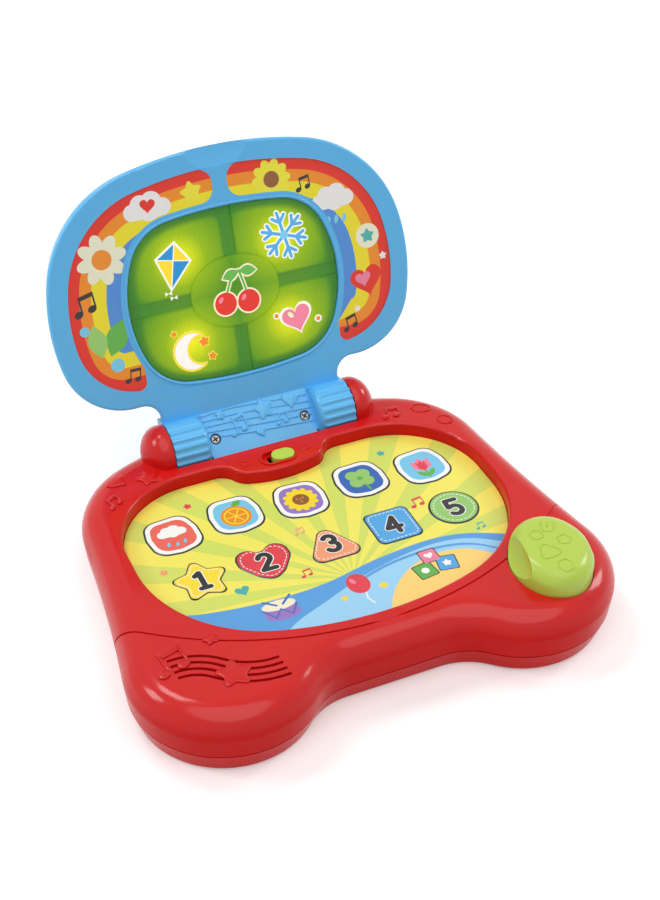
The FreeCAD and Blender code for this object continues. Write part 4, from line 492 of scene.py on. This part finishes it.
def sheetMesh(name, looks, layers, put, low, high, back):
    points, faces, owner = [], [], []
    inkOrder = sorted({ink for ink, shapes in layers if ink != "hole"} | {back})
    for level, (ink, shapes) in enumerate(layers):
        for shape in shapes:
            turned = shape if signedArea(shape) > 0 else shape[::-1]
            faces.append(list(range(len(points), len(points) + len(turned))))
            points += [Vector(point) for point in turned]
            owner.append(level)
    spots, _, triangles, _, _, origins = delaunay_2d_cdt(points, [], faces, 1, 1e-7)  # 1 keeps what is inside
    kept = []
    for triangle, group in zip(triangles, origins):
        levels = {owner[index] for index in group}
        if 0 in levels and layers[max(levels)][0] != "hole":
            kept.append((triangle, inkOrder.index(layers[max(levels)][0])))
    used = sorted({corner for triangle, _ in kept for corner in triangle})
    fresh = {corner: index for index, corner in enumerate(used)}
    vertices = [put(*spots[corner], level) for level in (high, low) for corner in used]
    count = len(used)
    polygons, picks, sides = [], [], {}
    for triangle, pick in kept:
        face = [fresh[corner] for corner in triangle]
        polygons += [face, [corner + count for corner in face[::-1]]]
        picks += [pick, inkOrder.index(back)]
        sides.update(dict.fromkeys(zip(face, face[1:] + face[:1])))
    for start, end in sides:
        if (end, start) not in sides:
            polygons.append([end, start, start + count, end + count])
            picks.append(inkOrder.index(back))
    mesh = bpy.data.meshes.new(name)
    mesh.from_pydata(vertices, [], polygons)
    item = newItem(name, mesh)
    dress(item, *[looks[ink] for ink in inkOrder])
    mesh.polygons.foreach_set("material_index", picks)
    return item


def rimOf(node, toFlat, level, near=0.01):  # outline of a node's face at a level, read from its mesh
    mesh = nodes[node].data
    flat = [toFlat(vertex.co) for vertex in mesh.vertices]
    links = {}
    for polygon in mesh.polygons:
        if all(abs(flat[corner][2] - level) < near for corner in polygon.vertices):
            spots = [tuple(round(value, 3) for value in flat[corner][:2]) for corner in polygon.vertices]
            links.update(dict.fromkeys(zip(spots, spots[1:] + spots[:1])))
    chain = {start: end for start, end in links if (end, start) not in links}
    first = next(iter(chain))
    loop = [first]
    while chain[loop[-1]] != first:
        loop.append(chain[loop[-1]])
    return loop


def onBase(x, y, z):
    return Vector((x, y, z)) * mm


def fromBase(place):
    return (place.x / mm, place.y / mm, place.z / mm)


leanSine, leanCosine = math.sin(math.radians(hinge["lean"])), math.cos(math.radians(hinge["lean"]))


def onLid(x, rise, out):
    return Vector((x, hinge["rear"] + rise * leanCosine - out * leanSine,
                   hinge["height"] + rise * leanSine + out * leanCosine)) * mm


def fromLid(place):
    y, z = place.y / mm - hinge["rear"], place.z / mm - hinge["height"]
    return (place.x / mm, y * leanCosine + z * leanSine, z * leanCosine - y * leanSine)


keypad = {
    "top": 28.0, "low": 27.4, "sun": (0, -33), "rayReach": 190, "rays": 22, "rayShare": 0.46, "rayTurn": 4,
    "pictures": [(-64.5, 27.0, 4), (-32.6, 29.2, 0), (0, 27.2, -4), (32.6, 29.6, 2), (64.6, 27.0, 6)],
    "keyHalf": 13, "keyLine": 0.9, "keyBorder": 2.1, "keyReach": 20, "raised": 0.32, "slope": 1.0,
    "numbers": [(-63.4, -7.4), (-32.2, -7.4), (0, -7.6), (32.0, -7.4), (64.0, -7.4)],
    "digitSize": 8.2, "digitLine": 2.7, "digitEdge": 0.9, "numberLine": 1.0, "seam": 2.5,
    "stitch": (1.3, 0.8, 0.4),
}


def depthIn(outline, x, y):  # how deep a point lies inside an outline, up to the width of the slope
    inside, nearest = False, keypad["slope"]
    for (ax, ay), (bx, by) in zip(outline, outline[1:] + outline[:1]):
        if (ay > y) != (by > y) and x < ax + (y - ay) * (bx - ax) / (by - ay):
            inside = not inside
        along = ((x - ax) * (bx - ax) + (y - ay) * (by - ay)) / max((bx - ax) ** 2 + (by - ay) ** 2, 1e-9)
        along = min(1, max(0, along))
        nearest = min(nearest, math.hypot(x - ax - along * (bx - ax), y - ay - along * (by - ay)))
    return nearest if inside else 0


def onKeys(outlines):  # places a point on the film, which is embossed under each key
    def put(x, y, level):
        depth = 0
        for outline, middle in outlines:
            if math.dist((x, y), middle) < keypad["keyReach"]:
                depth = max(depth, depthIn(outline, x, y))
        return onBase(x, y, level + keypad["raised"] * depth / keypad["slope"])
    return put


def pictureKey(index, x, y, turn):  # rounded key with a bright little picture
    form = softCorners([(-12.4, -11.2), (0, -13.6), (12.4, -11.2), (13.2, 2), (10.4, 13.2), (-10.4, 13.2),
                        (-13.2, 2)], 9)
    form = moved(form, 0, 0, turn)
    half, line = keypad["keyHalf"], keypad["keyLine"]
    layers = [("black", [moved(form, x, y)]), ("paper", [moved(scaled(form, 1 - line / half), x, y)])]
    field = moved(scaled(form, 1 - (line + keypad["keyBorder"]) / half), x, y)
    if index == 0:  # cloud and rain
        drops = [oval(x + dx, y - 5.6 + dy, 0.75, 1.5, -14, 14) for dx, dy in ((-4, 0), (0, -1), (4, 0))]
        layers += [("coral", [field]), ("paper", cloudShape(x, y + 2.2, 4.9)), ("sky", drops)]
    elif index == 1:  # orange with its leaf
        rings = [("orange", 7.4), ("stripeYellow", 6.0), ("orange", 5.2)]
        spokes = [[(x - 4.6, y - 1), (x + 4.6, y - 1)], [(x - 2.3, y - 5), (x + 2.3, y + 3)],
                  [(x + 2.3, y - 5), (x - 2.3, y + 3)]]
        layers += [("sky", [field])] + [(ink, [disc(x, y - 1, radius)]) for ink, radius in rings]
        layers += [("stripeYellow", strokes(spokes, 0.7)), ("leaf", [leaf(x + 0.5, y + 6.4, 6, 1.8, 28)])]
    elif index == 2:  # sunflower
        seeds = [disc(x + dx, y + dy, 0.55, 10) for dx, dy in ((-1.6, 0.9), (1.5, 1.1), (0, -1.7), (0, 0.3))]
        layers += [("violet", [field]), ("stripeYellow", petals(x, y, 12, 5.6, 3.0)),
                   ("brown", [disc(x, y, 4.1)]), ("orange", seeds)]
    elif index == 3:  # clover
        leaves = [disc(x + 3.9 * math.cos(angle), y + 1 + 3.9 * math.sin(angle), 3.5)
                  for angle in (0.785, 2.356, 3.927, 5.498)]
        layers += [("deepBlue", [field]), ("leaf", stroke([(x, y), (x + 1.6, y - 8.4)], 1.3)),
                   ("keyGreen", leaves), ("leaf", [disc(x, y + 1, 1.5)])]
    else:  # tulip
        cup = softCorners([(-5, 6.2), (-2.4, 2.8), (0, 6.8), (2.4, 2.8), (5, 6.2), (4.6, -1.4), (0, -4),
                           (-4.6, -1.4)], 1, 4)
        stalk = stroke([(x, y - 2), (x, y - 9)], 1.2) + [leaf(x, y - 8.6, 7, 1.5, lean) for lean in (48, 132)]
        layers += [("sky", [field]), ("leaf", stalk), ("pink", [moved(cup, x, y)]),
                   ("keyRed", [moved(scaled(cup, 0.5, 0.8), x, y - 0.6)])]
    return layers


def numberKey(index, x, y):
    forms = [(scaled(starShape(5, 0.56, 0.16), 15.6), "keyYellow"), (scaled(plumpHeart(), 13.0), "keyRed"),
             (scaled(triangleShape(), 13.4), "peach"), (scaled(squareShape(), 11.4), "keyBlue"),
             (disc(0, 0, 12.2, 40), "keyGreen")]
    form, ink = forms[index]
    reach = max(math.hypot(*point) for point in form)
    digit = [moved(scaled(line, keypad["digitSize"]), x, y) for line in digitLines[index]]
    wide = keypad["digitLine"]

    def within(inset):
        return moved(scaled(form, 1 - inset / reach), x, y)

    stitches = dashes(within(keypad["seam"]), *keypad["stitch"])
    return [("black", [within(0)]), (ink, [within(keypad["numberLine"])]),
            ("paper", stitches + strokes(digit, wide + keypad["digitEdge"])), ("black", strokes(digit, wide))]


cubes = {
    "soft": 0.2, "edge": 0.5,
    "places": [("leaf", 31.5, -42, 4.4, 8), ("keyBlue", 43, -41, 4.4, -10), ("pink", 37.4, -33.6, 4.0, 2)],
}


def cube(x, y, size, turn, edge=0):
    return moved(scaled(squareShape(cubes["soft"]), size + edge), x, y, turn)


def modePictures():
    sticks = [[(-44, -32), (-39, -36)], [(-31, -31.5), (-36, -36)]]
    lacing = [(-46, -37.5), (-42, -43.5), (-38, -38.6), (-34, -43.5), (-30, -37.5)]
    drum = [("violet", [oval(-38, -42.5, 8, 3.2), [(-46, -42.5), (-30, -42.5), (-30, -36), (-46, -36)]]),
            ("cream", [oval(-38, -36, 8, 3.2)]), ("deepBlue", strokes(sticks, 1.1) + stroke(lacing, 0.7))]
    balloon = [("paper", stroke([(1, -44), (0, -48), (1.6, -52)], 0.7)),
               ("keyRed", [oval(0, -37.5, 5.4, 6.6)]), ("pink", [oval(-1.8, -35.2, 1.1, 2, 20)]),
               ("stripeYellow", [star(10, -43, 2.6, 12), star(-9.5, -44, 2.2, -10)])]
    blocks = [("black", [cube(*place, cubes["edge"]) for ink, *place in cubes["places"]])]
    blocks += [(ink, [cube(*place)]) for ink, *place in cubes["places"]]
    blocks += [("paper", [disc(31.5, -42, 1.9), star(43, -41, 2.6, -10), heart(37.4, -33.6, 2.3, 2)])]
    return drum + balloon + blocks


def smoothLine(points, count=10):  # a rounded line through a few points
    ends = [points[0]] + points + [points[-1]]
    line = []
    for corners in zip(ends, ends[1:], ends[2:], ends[3:]):
        for step in range(count):
            t = step / count
            line.append(tuple(0.5 * (2 * b + (c - a) * t + (2 * a - 5 * b + 4 * c - d) * t * t
                                     + (3 * b - a - 3 * c + d) * t ** 3) for a, b, c, d in zip(*corners)))
    return line + [points[-1]]


shore = {
    "wave": [(-95, -20), (-70, -28), (-42, -32), (-14, -31.5), (14, -26), (42, -23.5), (62, -27), (84, -38)],
    "shallows": [(-48, -60), (-36, -50), (-18, -42.5), (4, -34), (26, -28.6), (46, -27), (62, -31),
                 (78, -42)],
    "ripple": [(-2, -36.5), (16, -31), (34, -29), (50, -30.2), (62, -35), (74, -46)],
    "beach": [(3, -70), (7, -58), (14, -47), (25, -38), (38, -33.6), (50, -34.2), (60, -39), (72, -52)],
    "foot": -80, "rippleWidth": 1.6,
}


def below(name):  # all of the sheet under a line of the shore
    line = smoothLine(shore[name])
    return line + [(line[-1][0], shore["foot"]), (line[0][0], shore["foot"])]


def makeKeypad():
    rays = fan(*keypad["sun"], *(keypad[key] for key in ("rayReach", "rays", "rayShare", "rayTurn")))
    ripple = smoothLine(shore["ripple"])
    band = ripple + [(x, y - shore["rippleWidth"]) for x, y in ripple[::-1]]
    layers = [("yellow", [rimOf("keypad_overlay", fromBase, keypad["top"])]), ("ray", rays),
              ("midBlue", [below("wave")]), ("lightBlue", [below("shallows")]), ("midBlue", [band]),
              ("sand", [below("beach")]), ("keyRed", [star(-51, 44.5, 2.5, 10)] + noteShape(49.5, 3.5, 4.4)
                                           + noteShape(-18.5, -21.5, 3.4)),
              ("teal", [star(50.5, 44.5, 2.6, -8), heart(-49, -21.5, 3.7, 6)] + noteShape(69, -24, 3.0)),
              ("peach", [star(-77, 4.5, 2.6, 12)] + noteShape(-10, 6.5, 3.2))]
    keys = [(place, pictureKey(index, *place)) for index, place in enumerate(keypad["pictures"])]
    keys += [(place, numberKey(index, *place)) for index, place in enumerate(keypad["numbers"])]
    outlines = [(key[0][1][0], place[:2]) for place, key in keys]
    layers += [layer for place, key in keys for layer in key] + modePictures()
    sheet = sheetMesh("keypad_sheet", inks, layers, onKeys(outlines), keypad["low"], keypad["top"], "paper")
    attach(sheet, "base")
    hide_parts("keypad_overlay")
    print("keypad printed,", len(sheet.data.polygons), "faces")


panels = {
    "top": -4.1, "low": -4.9, "bands": [("stripeOrange", 15.9), ("stripeYellow", 21.6), ("stripeBlue", 29.0)],
    "arcs": [(0, -66.4, 208, 90, 77.5), (31.9, 77.7, 60.4, 77.5, 12.7), (-0.9, 70.3, 94, 12.7, -13.9),
             (58.6, 55.7, 32.7, -13.9, -80)],
}


def lidLoop(inset):  # line that runs parallel inside the lid's outline
    right = []
    for x, y, radius, start, end in panels["arcs"]:
        right += arc(x, y, radius - inset, start, end, 24)
    return right + [(-x, y) for x, y in right[::-1]]


def leftMotifs():
    return [("paper", cloudShape(-37, 117.5, 8.0)), ("keyYellow", [star(-14.5, 121, 6.4, 8)]),
            ("stripeRed", [heart(-36.6, 118.6, 4.0, -6)]), ("cream", petals(-62.5, 98.5, 8, 7.2, 5.2, 10)),
            ("orange", [disc(-62.5, 98.5, 4.8)]), ("black", noteShape(-74.5, 79.5, 6.6, 6)),
            ("leaf", [leaf(-66, 52, 19, 5.4, 62)]), ("keyGreen", [leaf(-70, 52, 17, 4.6, 98)]),
            ("sky", [disc(-63.5, 47, 3.4), disc(-76.5, 66.5, 2.4)]), ("black", noteShape(-57, 40.5, 4.6, -8))]


def rightMotifs():
    drops = [oval(52.5 + step * 4.2, 93.6, 1.1, 2.2, -14, 14) for step in range(3)]
    return [("keyYellow", petals(26, 119.3, 10, 5.8, 4.2)), ("brown", [disc(26, 119.3, 4)]),
            ("paper", cloudShape(56, 103.5, 7.6)), ("sky", drops), ("black", noteShape(41.5, 114.5, 4.6, 4)),
            ("cream", [disc(72, 82, 6.2)]), ("stripeRed", [heart(69, 59, 9.0, 8)]),
            ("pink", [heart(67.2, 60.4, 4.4, 8)]), ("teal", [star(72, 82, 4.2)]),
            ("black", noteShape(57, 40.5, 4.8, 10)),
            ("paper", [star(79, 70.5, 2.4), star(62, 46.5, 2.1, 10)])]


def makePanels():
    for name, motifs in (("left_picture_panel", leftMotifs()), ("right_picture_panel", rightMotifs())):
        layers = [("stripeRed", [rimOf(name, fromLid, panels["top"])])]
        layers += [(ink, [lidLoop(inset)]) for ink, inset in panels["bands"]] + motifs
        # the panels' print uses the inks painted brighter, as painted light
        sheet = sheetMesh(name + "_print", lidInksPaintedBright, layers, onLid, panels["low"], panels["top"], "paper")
        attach(sheet, "lid")
        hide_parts(name)
    print("picture panels printed")


screen = {
    "face": -4.1, "thick": 0.2, "sunk": 0.05,
    "kite": (-29, 89), "flake": (28.5, 91.5), "moon": (-26, 45), "heart": (29.5, 48.5), "cherries": (0, 70),
}


def kitePicture(x, y, turn=-12):
    corners = [(0, -11.5), (8.2, 2), (0, 10), (-8.2, 2)]
    foot, right, top, left, middle = moved(corners + [(0, 2)], x, y, turn)
    knots = moved([(-1.4, -14), (1.4, -16)], x, y, turn)
    bow = scaled([(-1, -0.6), (0, 0), (-1, 0.6)], 1.68)
    bows = [moved(bow, *knot, side) for knot in knots for side in (0, 180)]
    return [("paper", [moved(scaled(corners, 1.14), x, y, turn)] + bows),
            ("stripeYellow", [[foot, right, top, left]]),
            ("iconBlue", [[top, left, middle], [foot, right, middle]]),
            ("paper", strokes([[top, foot], [left, right]], 0.5))]


def flakePicture(x, y, turn=12):
    turns = [60 * step + turn for step in range(6)]
    arms = [moved([(0, 0), (0, 11.5)], x, y, angle) for angle in turns]
    arms += [moved([(0, 6.4), (3.2 * way, 9.6)], x, y, angle) for angle in turns for way in (-1, 1)]
    return [("paper", strokes(arms, 2.9)), ("keyBlue", strokes(arms, 1.6)), ("sky", [disc(x, y, 2.2)])]


def moonPicture(x, y):
    stars = [(6.4, 3.6, 3.0, 3.8, 10), (9.6, -4.4, 2.3, 3.0, -14), (-8, 10.4, 1.7, 2.3, 24)]
    moon = arc(x, y, 9, 60, 300, 30) + arc(x + 5.0, y, 7.85, 276, 84, 24)
    wide = arc(x, y, 10.1, 52, 308, 30) + arc(x + 5.0, y, 6.75, 285, 75, 24)
    return [("paper", [wide] + [star(x + dx, y + dy, edge, turn) for dx, dy, size, edge, turn in stars]),
            ("keyYellow", [moon]),
            ("stripeOrange", [star(x + dx, y + dy, size, turn) for dx, dy, size, edge, turn in stars])]


def heartPicture(x, y):
    return [("paper", [heart(x, y, 9.2, 10), disc(x - 10.6, y + 4, 1.7), disc(x + 11, y - 2, 1.9)]),
            ("pink", [heart(x, y, 7.9, 10)]),
            ("stripeOrange", [disc(x - 10.6, y + 4, 1.1), disc(x + 11, y - 2, 1.2)]),
            ("cream", [oval(x - 3.2, y + 3.0, 1.1, 1.9, 40, 16)])]


def cherryPicture(x, y):
    top, fruits = (x + 3, y + 9.5), [(x - 5.8, y - 5.6), (x + 6, y - 6.4)]
    stalks = [[(x - 5.6, y - 3), (x - 2, y + 5), top], [(x + 6, y - 4), (x + 4.6, y + 3), top]]
    edges = [leaf(x + 3.8, y + 9.3, 10.6, 3.3, 196), leaf(x + 2.2, y + 9.3, 10.6, 3.3, -8)]
    leaves = [leaf(x + 3, y + 9.2, 9, 2.5, turn) for turn in (196, -8)]
    shines = [oval(px, py, 1.0, 1.7, -35, 16) for px, py in ((x - 8, y - 3.4), (x + 3.8, y - 4.2))]
    return [("cream", [disc(*fruit, 6.4) for fruit in fruits] + strokes(stalks, 2.2) + edges),
            ("leaf", strokes(stalks, 1.1) + leaves), ("stripeRed", [disc(*fruit, 5.6) for fruit in fruits]),
            ("pink", shines)]


def makeScreenPictures():
    low, high = screen["face"] - screen["sunk"], screen["face"] + screen["thick"]
    pictures = {"kite": kitePicture, "flake": flakePicture, "moon": moonPicture, "heart": heartPicture,
                "cherries": cherryPicture}
    for name, draw in pictures.items():
        layers = draw(*screen[name])
        sheet = sheetMesh("screen_" + name, litInks, layers, onLid, low, high, layers[0][0])
        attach(sheet, "lid")
    print("screen pictures laid")


# raised figures, laid over what carries them

relief = {"sunk": 0.25, "overBase": 80, "beforeLid": 30}


def groundOf(names, put, far):  # finds the place a little above the nodes' surface
    corners, faces = [], []
    for name in names:
        mesh = nodes[name].data
        faces += [[len(corners) + corner for corner in face.vertices] for face in mesh.polygons]
        corners += [vertex.co for vertex in mesh.vertices]
    tree = BVHTree.FromPolygons(corners, faces)

    def find(x, y, level):
        start = put(x, y, far)
        place, normal, _, _ = tree.ray_cast(start, put(x, y, 0) - start)
        return place + normal * level * mm
    return find


def pillow(find, shape, height):  # soft-edged boss over a flat shape
    x, y = (sum(values) / len(shape) for values in zip(*shape))
    rows = [(1.0, -relief["sunk"]), (1.0, height * 0.45), (0.94, height * 0.82), (0.84, height)]
    count = len(shape)
    corners = [find(x + (px - x) * share, y + (py - y) * share, level)
               for share, level in rows for px, py in shape]
    corners += [find(x, y, height), find(x, y, -relief["sunk"])]
    faces = []
    for index in range(count):
        after = (index + 1) % count
        for low in range(0, (len(rows) - 1) * count, count):
            faces.append([low + index, low + after, low + count + after, low + count + index])
        last = (len(rows) - 1) * count
        faces += [[last + index, last + after, len(corners) - 2], [after, index, len(corners) - 1]]
    return corners, faces


def ridge(find, line, width, height, closed=False):  # rounded rib along a line
    sunk, shoulder = -relief["sunk"], height * 0.8
    profile = [(-0.5, sunk), (-0.34, shoulder), (0, height), (0.34, shoulder), (0.5, sunk)]
    count, size = len(line), len(profile)
    corners, faces = [], []
    for index, here in enumerate(line):
        before = line[index - 1] if index or closed else here
        after = line[(index + 1) % count] if index < count - 1 or closed else here
        way = (Vector(after) - Vector(before)).normalized()
        corners += [find(here[0] - way.y * share * width, here[1] + way.x * share * width, level)
                    for share, level in profile]
    for index in range(count if closed else count - 1):
        low, high = index * size, (index + 1) % count * size
        for step in range(size):
            after = (step + 1) % size
            faces.append([low + step, low + after, high + after, high + step])
    if not closed:
        faces += [list(range(size)), [(count - 1) * size + step for step in range(size)][::-1]]
    return corners, faces


def bosses(find, sizes, height):  # stars, hearts and notes
    shapes = [star(*place) for place in sizes["stars"]] + [heart(*place) for place in sizes["hearts"]]
    shapes += [shape for place in sizes["notes"] for shape in noteShape(*place)]
    return [pillow(find, shape, height) for shape in shapes]


def makeRelief(name, body, look, parts):
    corners, faces = [], []
    for places, loops in parts:
        faces += [[len(corners) + corner for corner in loop] for loop in loops]
        corners += places
    mesh = bpy.data.meshes.new(name)
    mesh.from_pydata(corners, [], faces)
    form = bmesh.new()
    form.from_mesh(mesh)
    bmesh.ops.recalc_face_normals(form, faces=form.faces)
    form.to_mesh(mesh)
    form.free()
    mesh.shade_smooth()
    item = newItem(name, mesh)
    dress(item, finish[look])
    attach(item, body)


deckRelief = {
    "height": 0.9, "deck": 35.0, "ringWidth": 0.9, "ringHeight": 0.54,
    "rings": [(81.2, 62.2, 4.8, 3.3, -26), (87.9, 48.6, 3.9, 3.3, -40), (-17.1, 56.1, 2.0, 2.0, 0),
              (15.1, 56.2, 2.0, 2.0, 0)],
    "rear": {"stars": [(-63.3, 63.7, 6.2, 8)], "hearts": [(-77.6, 66.5, 5.4, 38)],
             "notes": [(-84.6, 53.0, 4.8, 25), (65.2, 64.7, 5.6, -12)]},
    "palm": {"stars": [(-75.6, -51, 4.2, 10), (-73.7, -74, 9.4, -8)], "hearts": [],
             "notes": [(-96.2, -56.6, 9.2, 8)]},
}


def onPalm(x, y, level):  # the speaker's slots lie here, so the level is the flat deck's
    return onBase(x, y, deckRelief["deck"] + level)


def makeDeckRelief():
    rear, height = groundOf(["base_top_shell"], onBase, relief["overBase"]), deckRelief["height"]
    parts = [ridge(rear, oval(*ring, 36), deckRelief["ringWidth"], deckRelief["ringHeight"], True)
             for ring in deckRelief["rings"]]
    parts += bosses(rear, deckRelief["rear"], height) + bosses(onPalm, deckRelief["palm"], height)
    makeRelief("deck_relief", "base", "red", parts)
    print("deck relief laid")


mouseRelief = {
    "width": 0.7, "height": 0.42, "tail": (84.2, -57.0, -30), "bend": 2.9, "tip": 3.4, "gap": 0.2,
    "soft": 0.3, "circle": (77.1, -59.7, 2.9, 0), "hexagon": (79.0, -82.2, 3.7, 64),
    "triangle": (76.8, -71.8, 7.4, 96), "pentagon": (87.0, -67.2, 3.5, 60),
}


def makeMouseRelief():
    find = groundOf(["mouse_button"], onBase, relief["overBase"])
    width, height, bend, tip = (mouseRelief[key] for key in ("width", "height", "bend", "tip"))
    bow = [(-bend, tip), (-bend, 0)] + arc(0, 0, bend, 180, 360, 12) + [(bend, 0), (bend, tip)]
    lines = (bow, [(0, tip), (0, mouseRelief["gap"])])
    parts = [ridge(find, moved(line, *mouseRelief["tail"]), width, height) for line in lines]
    for name, sides in (("circle", 30), ("hexagon", 6), ("triangle", 3), ("pentagon", 5)):
        form = disc(0, 0, 1, sides)
        if name != "circle":
            form = softCorners(form, mouseRelief["soft"], 5)
        x, y, size, turn = mouseRelief[name]
        parts.append(ridge(find, moved(scaled(form, size), x, y, turn), width, height, True))
    makeRelief("mouse_relief", "mouse", "lime", parts)
    print("mouse relief laid")


rampRelief = {
    "width": 1.0, "height": 0.5, "proud": 0.8, "staff": 5,
    "upper": [(-27.6, 11.9), (-14, 12.6), (0, 12.0), (14, 11.0), (27.6, 10.0)],
    "lower": [(-19.4, 2.3), (-7, 1.0), (4, -0.2), (12, -1.0), (20.4, -1.8)],
    "stars": [(4.2, 8.6, 6.0, 8), (-18.4, 10.6, 3.0, -10)],
    "hearts": [(18.8, 9.0, 4.6, -6), (-0.2, -1.2, 2.8, 12)],
    "notes": [(-11, 5.0, 5.6, 6), (11.8, 3.0, 3.8, -4)],
}


def makeRampRelief():
    find = groundOf(["hinge_cover", "lid_back_shell"], onLid, relief["beforeLid"])
    parts = []
    for row in range(rampRelief["staff"]):
        share = row / (rampRelief["staff"] - 1)
        line = [(x, high + (low - high) * share)
                for (x, high), (_, low) in zip(rampRelief["upper"], rampRelief["lower"])]
        parts.append(ridge(find, smoothLine(line), rampRelief["width"], rampRelief["height"]))
    parts += bosses(find, rampRelief, rampRelief["proud"])
    makeRelief("ramp_relief", "lid", "blue", parts)
    print("ramp relief laid")


windowLip = {"inset": 0.7, "width": 1.5, "height": 0.6}


def makeWindowLip():
    top = max(fromLid(vertex.co)[2] for vertex in nodes["screen_diffuser"].data.vertices)
    loop = rimOf("screen_diffuser", fromLid, top)
    line = []
    for before, here, after in zip(loop[-1:] + loop, loop, loop[1:] + loop[:1]):
        way = (Vector(after) - Vector(before)).normalized() * windowLip["inset"]
        line.append((here[0] - way.y, here[1] + way.x))
    find = groundOf(["lid_front_shell"], onLid, relief["beforeLid"])
    makeRelief("window_lip", "lid", "blue",
               [ridge(find, line, windowLip["width"], windowLip["height"], True)])
    print("window lip laid")


screws = {
    "radius": 1.9, "thick": 0.3, "sunk": 0.02, "slot": (0.42, 1.55), "lidTop": -17.48, "lidTurn": 25,
    "lid": [(-64, 112), (64, 112), (-76, 49), (76, 49)],
    "rampTilt": 29.5, "rampRise": 0.8, "rampTop": 2.78, "ramp": [("left", -23.8, 20), ("right", 23.8, 50)],
}


def onRamp(middle):
    sine, cosine = math.sin(math.radians(screws["rampTilt"])), math.cos(math.radians(screws["rampTilt"]))

    def put(x, y, level):
        along = y - screws["rampRise"]
        return onLid(middle + x, level * sine + along * cosine, level * cosine - along * sine)
    return put


def makeScrewFaces():  # the face of each screw, with its cross slot
    half, reach = screws["slot"]
    cross = [[(-reach, -half), (reach, -half), (reach, half), (-reach, half)],
             [(-half, -reach), (half, -reach), (half, reach), (-half, reach)]]
    face = disc(0, 0, screws["radius"], 32)
    low, high = screws["rampTop"] - screws["sunk"], screws["rampTop"] + screws["thick"]
    faces = [(side + "_cover_screw_face", (0, 0), turn, onRamp(middle), low, high)
             for side, middle, turn in screws["ramp"]]
    low, high = screws["lidTop"] - screws["thick"], screws["lidTop"] + screws["sunk"]
    faces += [("lid_screw_face_%d" % (index + 1), place, screws["lidTurn"] * index, onLid, low, high)
              for index, place in enumerate(screws["lid"])]
    for name, place, turn, put, low, high in faces:
        layers = [("screw", [moved(face, *place)]), ("hole", [moved(bar, *place, turn) for bar in cross])]
        piece = sheetMesh(name, finish, layers, put, low, high, "screw")
        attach(piece, "lid")
    print("screw faces cut")


makeKeypad()
makePanels()
makeScreenPictures()
makeScrewFaces()
makeDeckRelief()
makeMouseRelief()
makeRampRelief()
makeWindowLip()


# floor, light and world

studio = {
    "span": 4.0, "floor": (0.86, 0.86, 0.86), "drift": 0.01, "lift": (0.31, 0.31, 0.31), "world": 0.29,
    "wash": 1.16, "wide": 60, "washWay": (0.1, 0.4, -1.0), "aim": (0, 0, 0.05), "power": 4.0,
    "boxes": [("key_light", (-1.1, 0.4, 0.9), (0.36, 0.42)), ("fill_light", (1.2, 0.1, 0.75), (0.36, 0.42)),
              ("top_light", (-0.35, 0.6, 1.35), (0.42, 0.36))],
}


def newLamp(name, kind, energy, way):
    lamp = bpy.data.lights.new(name, kind)
    lamp.energy = energy
    item = newItem(name, lamp)
    item.rotation_euler = Vector(way).to_track_quat("-Z", "Y").to_euler()
    return item


def makeFloor():
    span, pale, drift = studio["span"], studio["floor"], studio["drift"]
    mesh = bpy.data.meshes.new("floor")
    corners = [(-span, -span, 0), (span, -span, 0), (span, span, 0), (-span, span, 0)]
    mesh.from_pydata(corners, [], [(0, 1, 2, 3)])
    floor = newItem("floor", mesh)
    paint = Paint("pale_floor")
    tone = paint.mix(paint.noise(grain["floor"]), shadeOf(pale, 1 - drift), shadeOf(pale, 1 + drift))
    lift = paint.mix(paint.seen(), (0, 0, 0), studio["lift"])
    dress(floor, paint.surface(Base_Color=tone, Roughness=0.9, Emission_Color=lift, Emission_Strength=1.0))


def makeLight():
    world = bpy.data.worlds.new("studio")
    bpy.context.scene.world = world
    paint = Paint("studio", world)
    strength = paint.seen() * (1 - studio["world"]) + studio["world"]
    white = paint.add("ShaderNodeBackground", Color=(1, 1, 1), Strength=strength)
    paint.close(white, "ShaderNodeOutputWorld")
    wash = newLamp("wash_light", "SUN", studio["wash"], studio["washWay"])
    wash.data.angle = math.radians(studio["wide"])
    for name, place, size in studio["boxes"]:
        box = newLamp(name, "AREA", studio["power"], Vector(studio["aim"]) - Vector(place))
        box.location = place
        box.data.shape = "RECTANGLE"
        box.data.size, box.data.size_y = size
    bpy.context.scene.view_settings.view_transform = "Standard"


makeFloor()
makeLight()
print("studio lit")
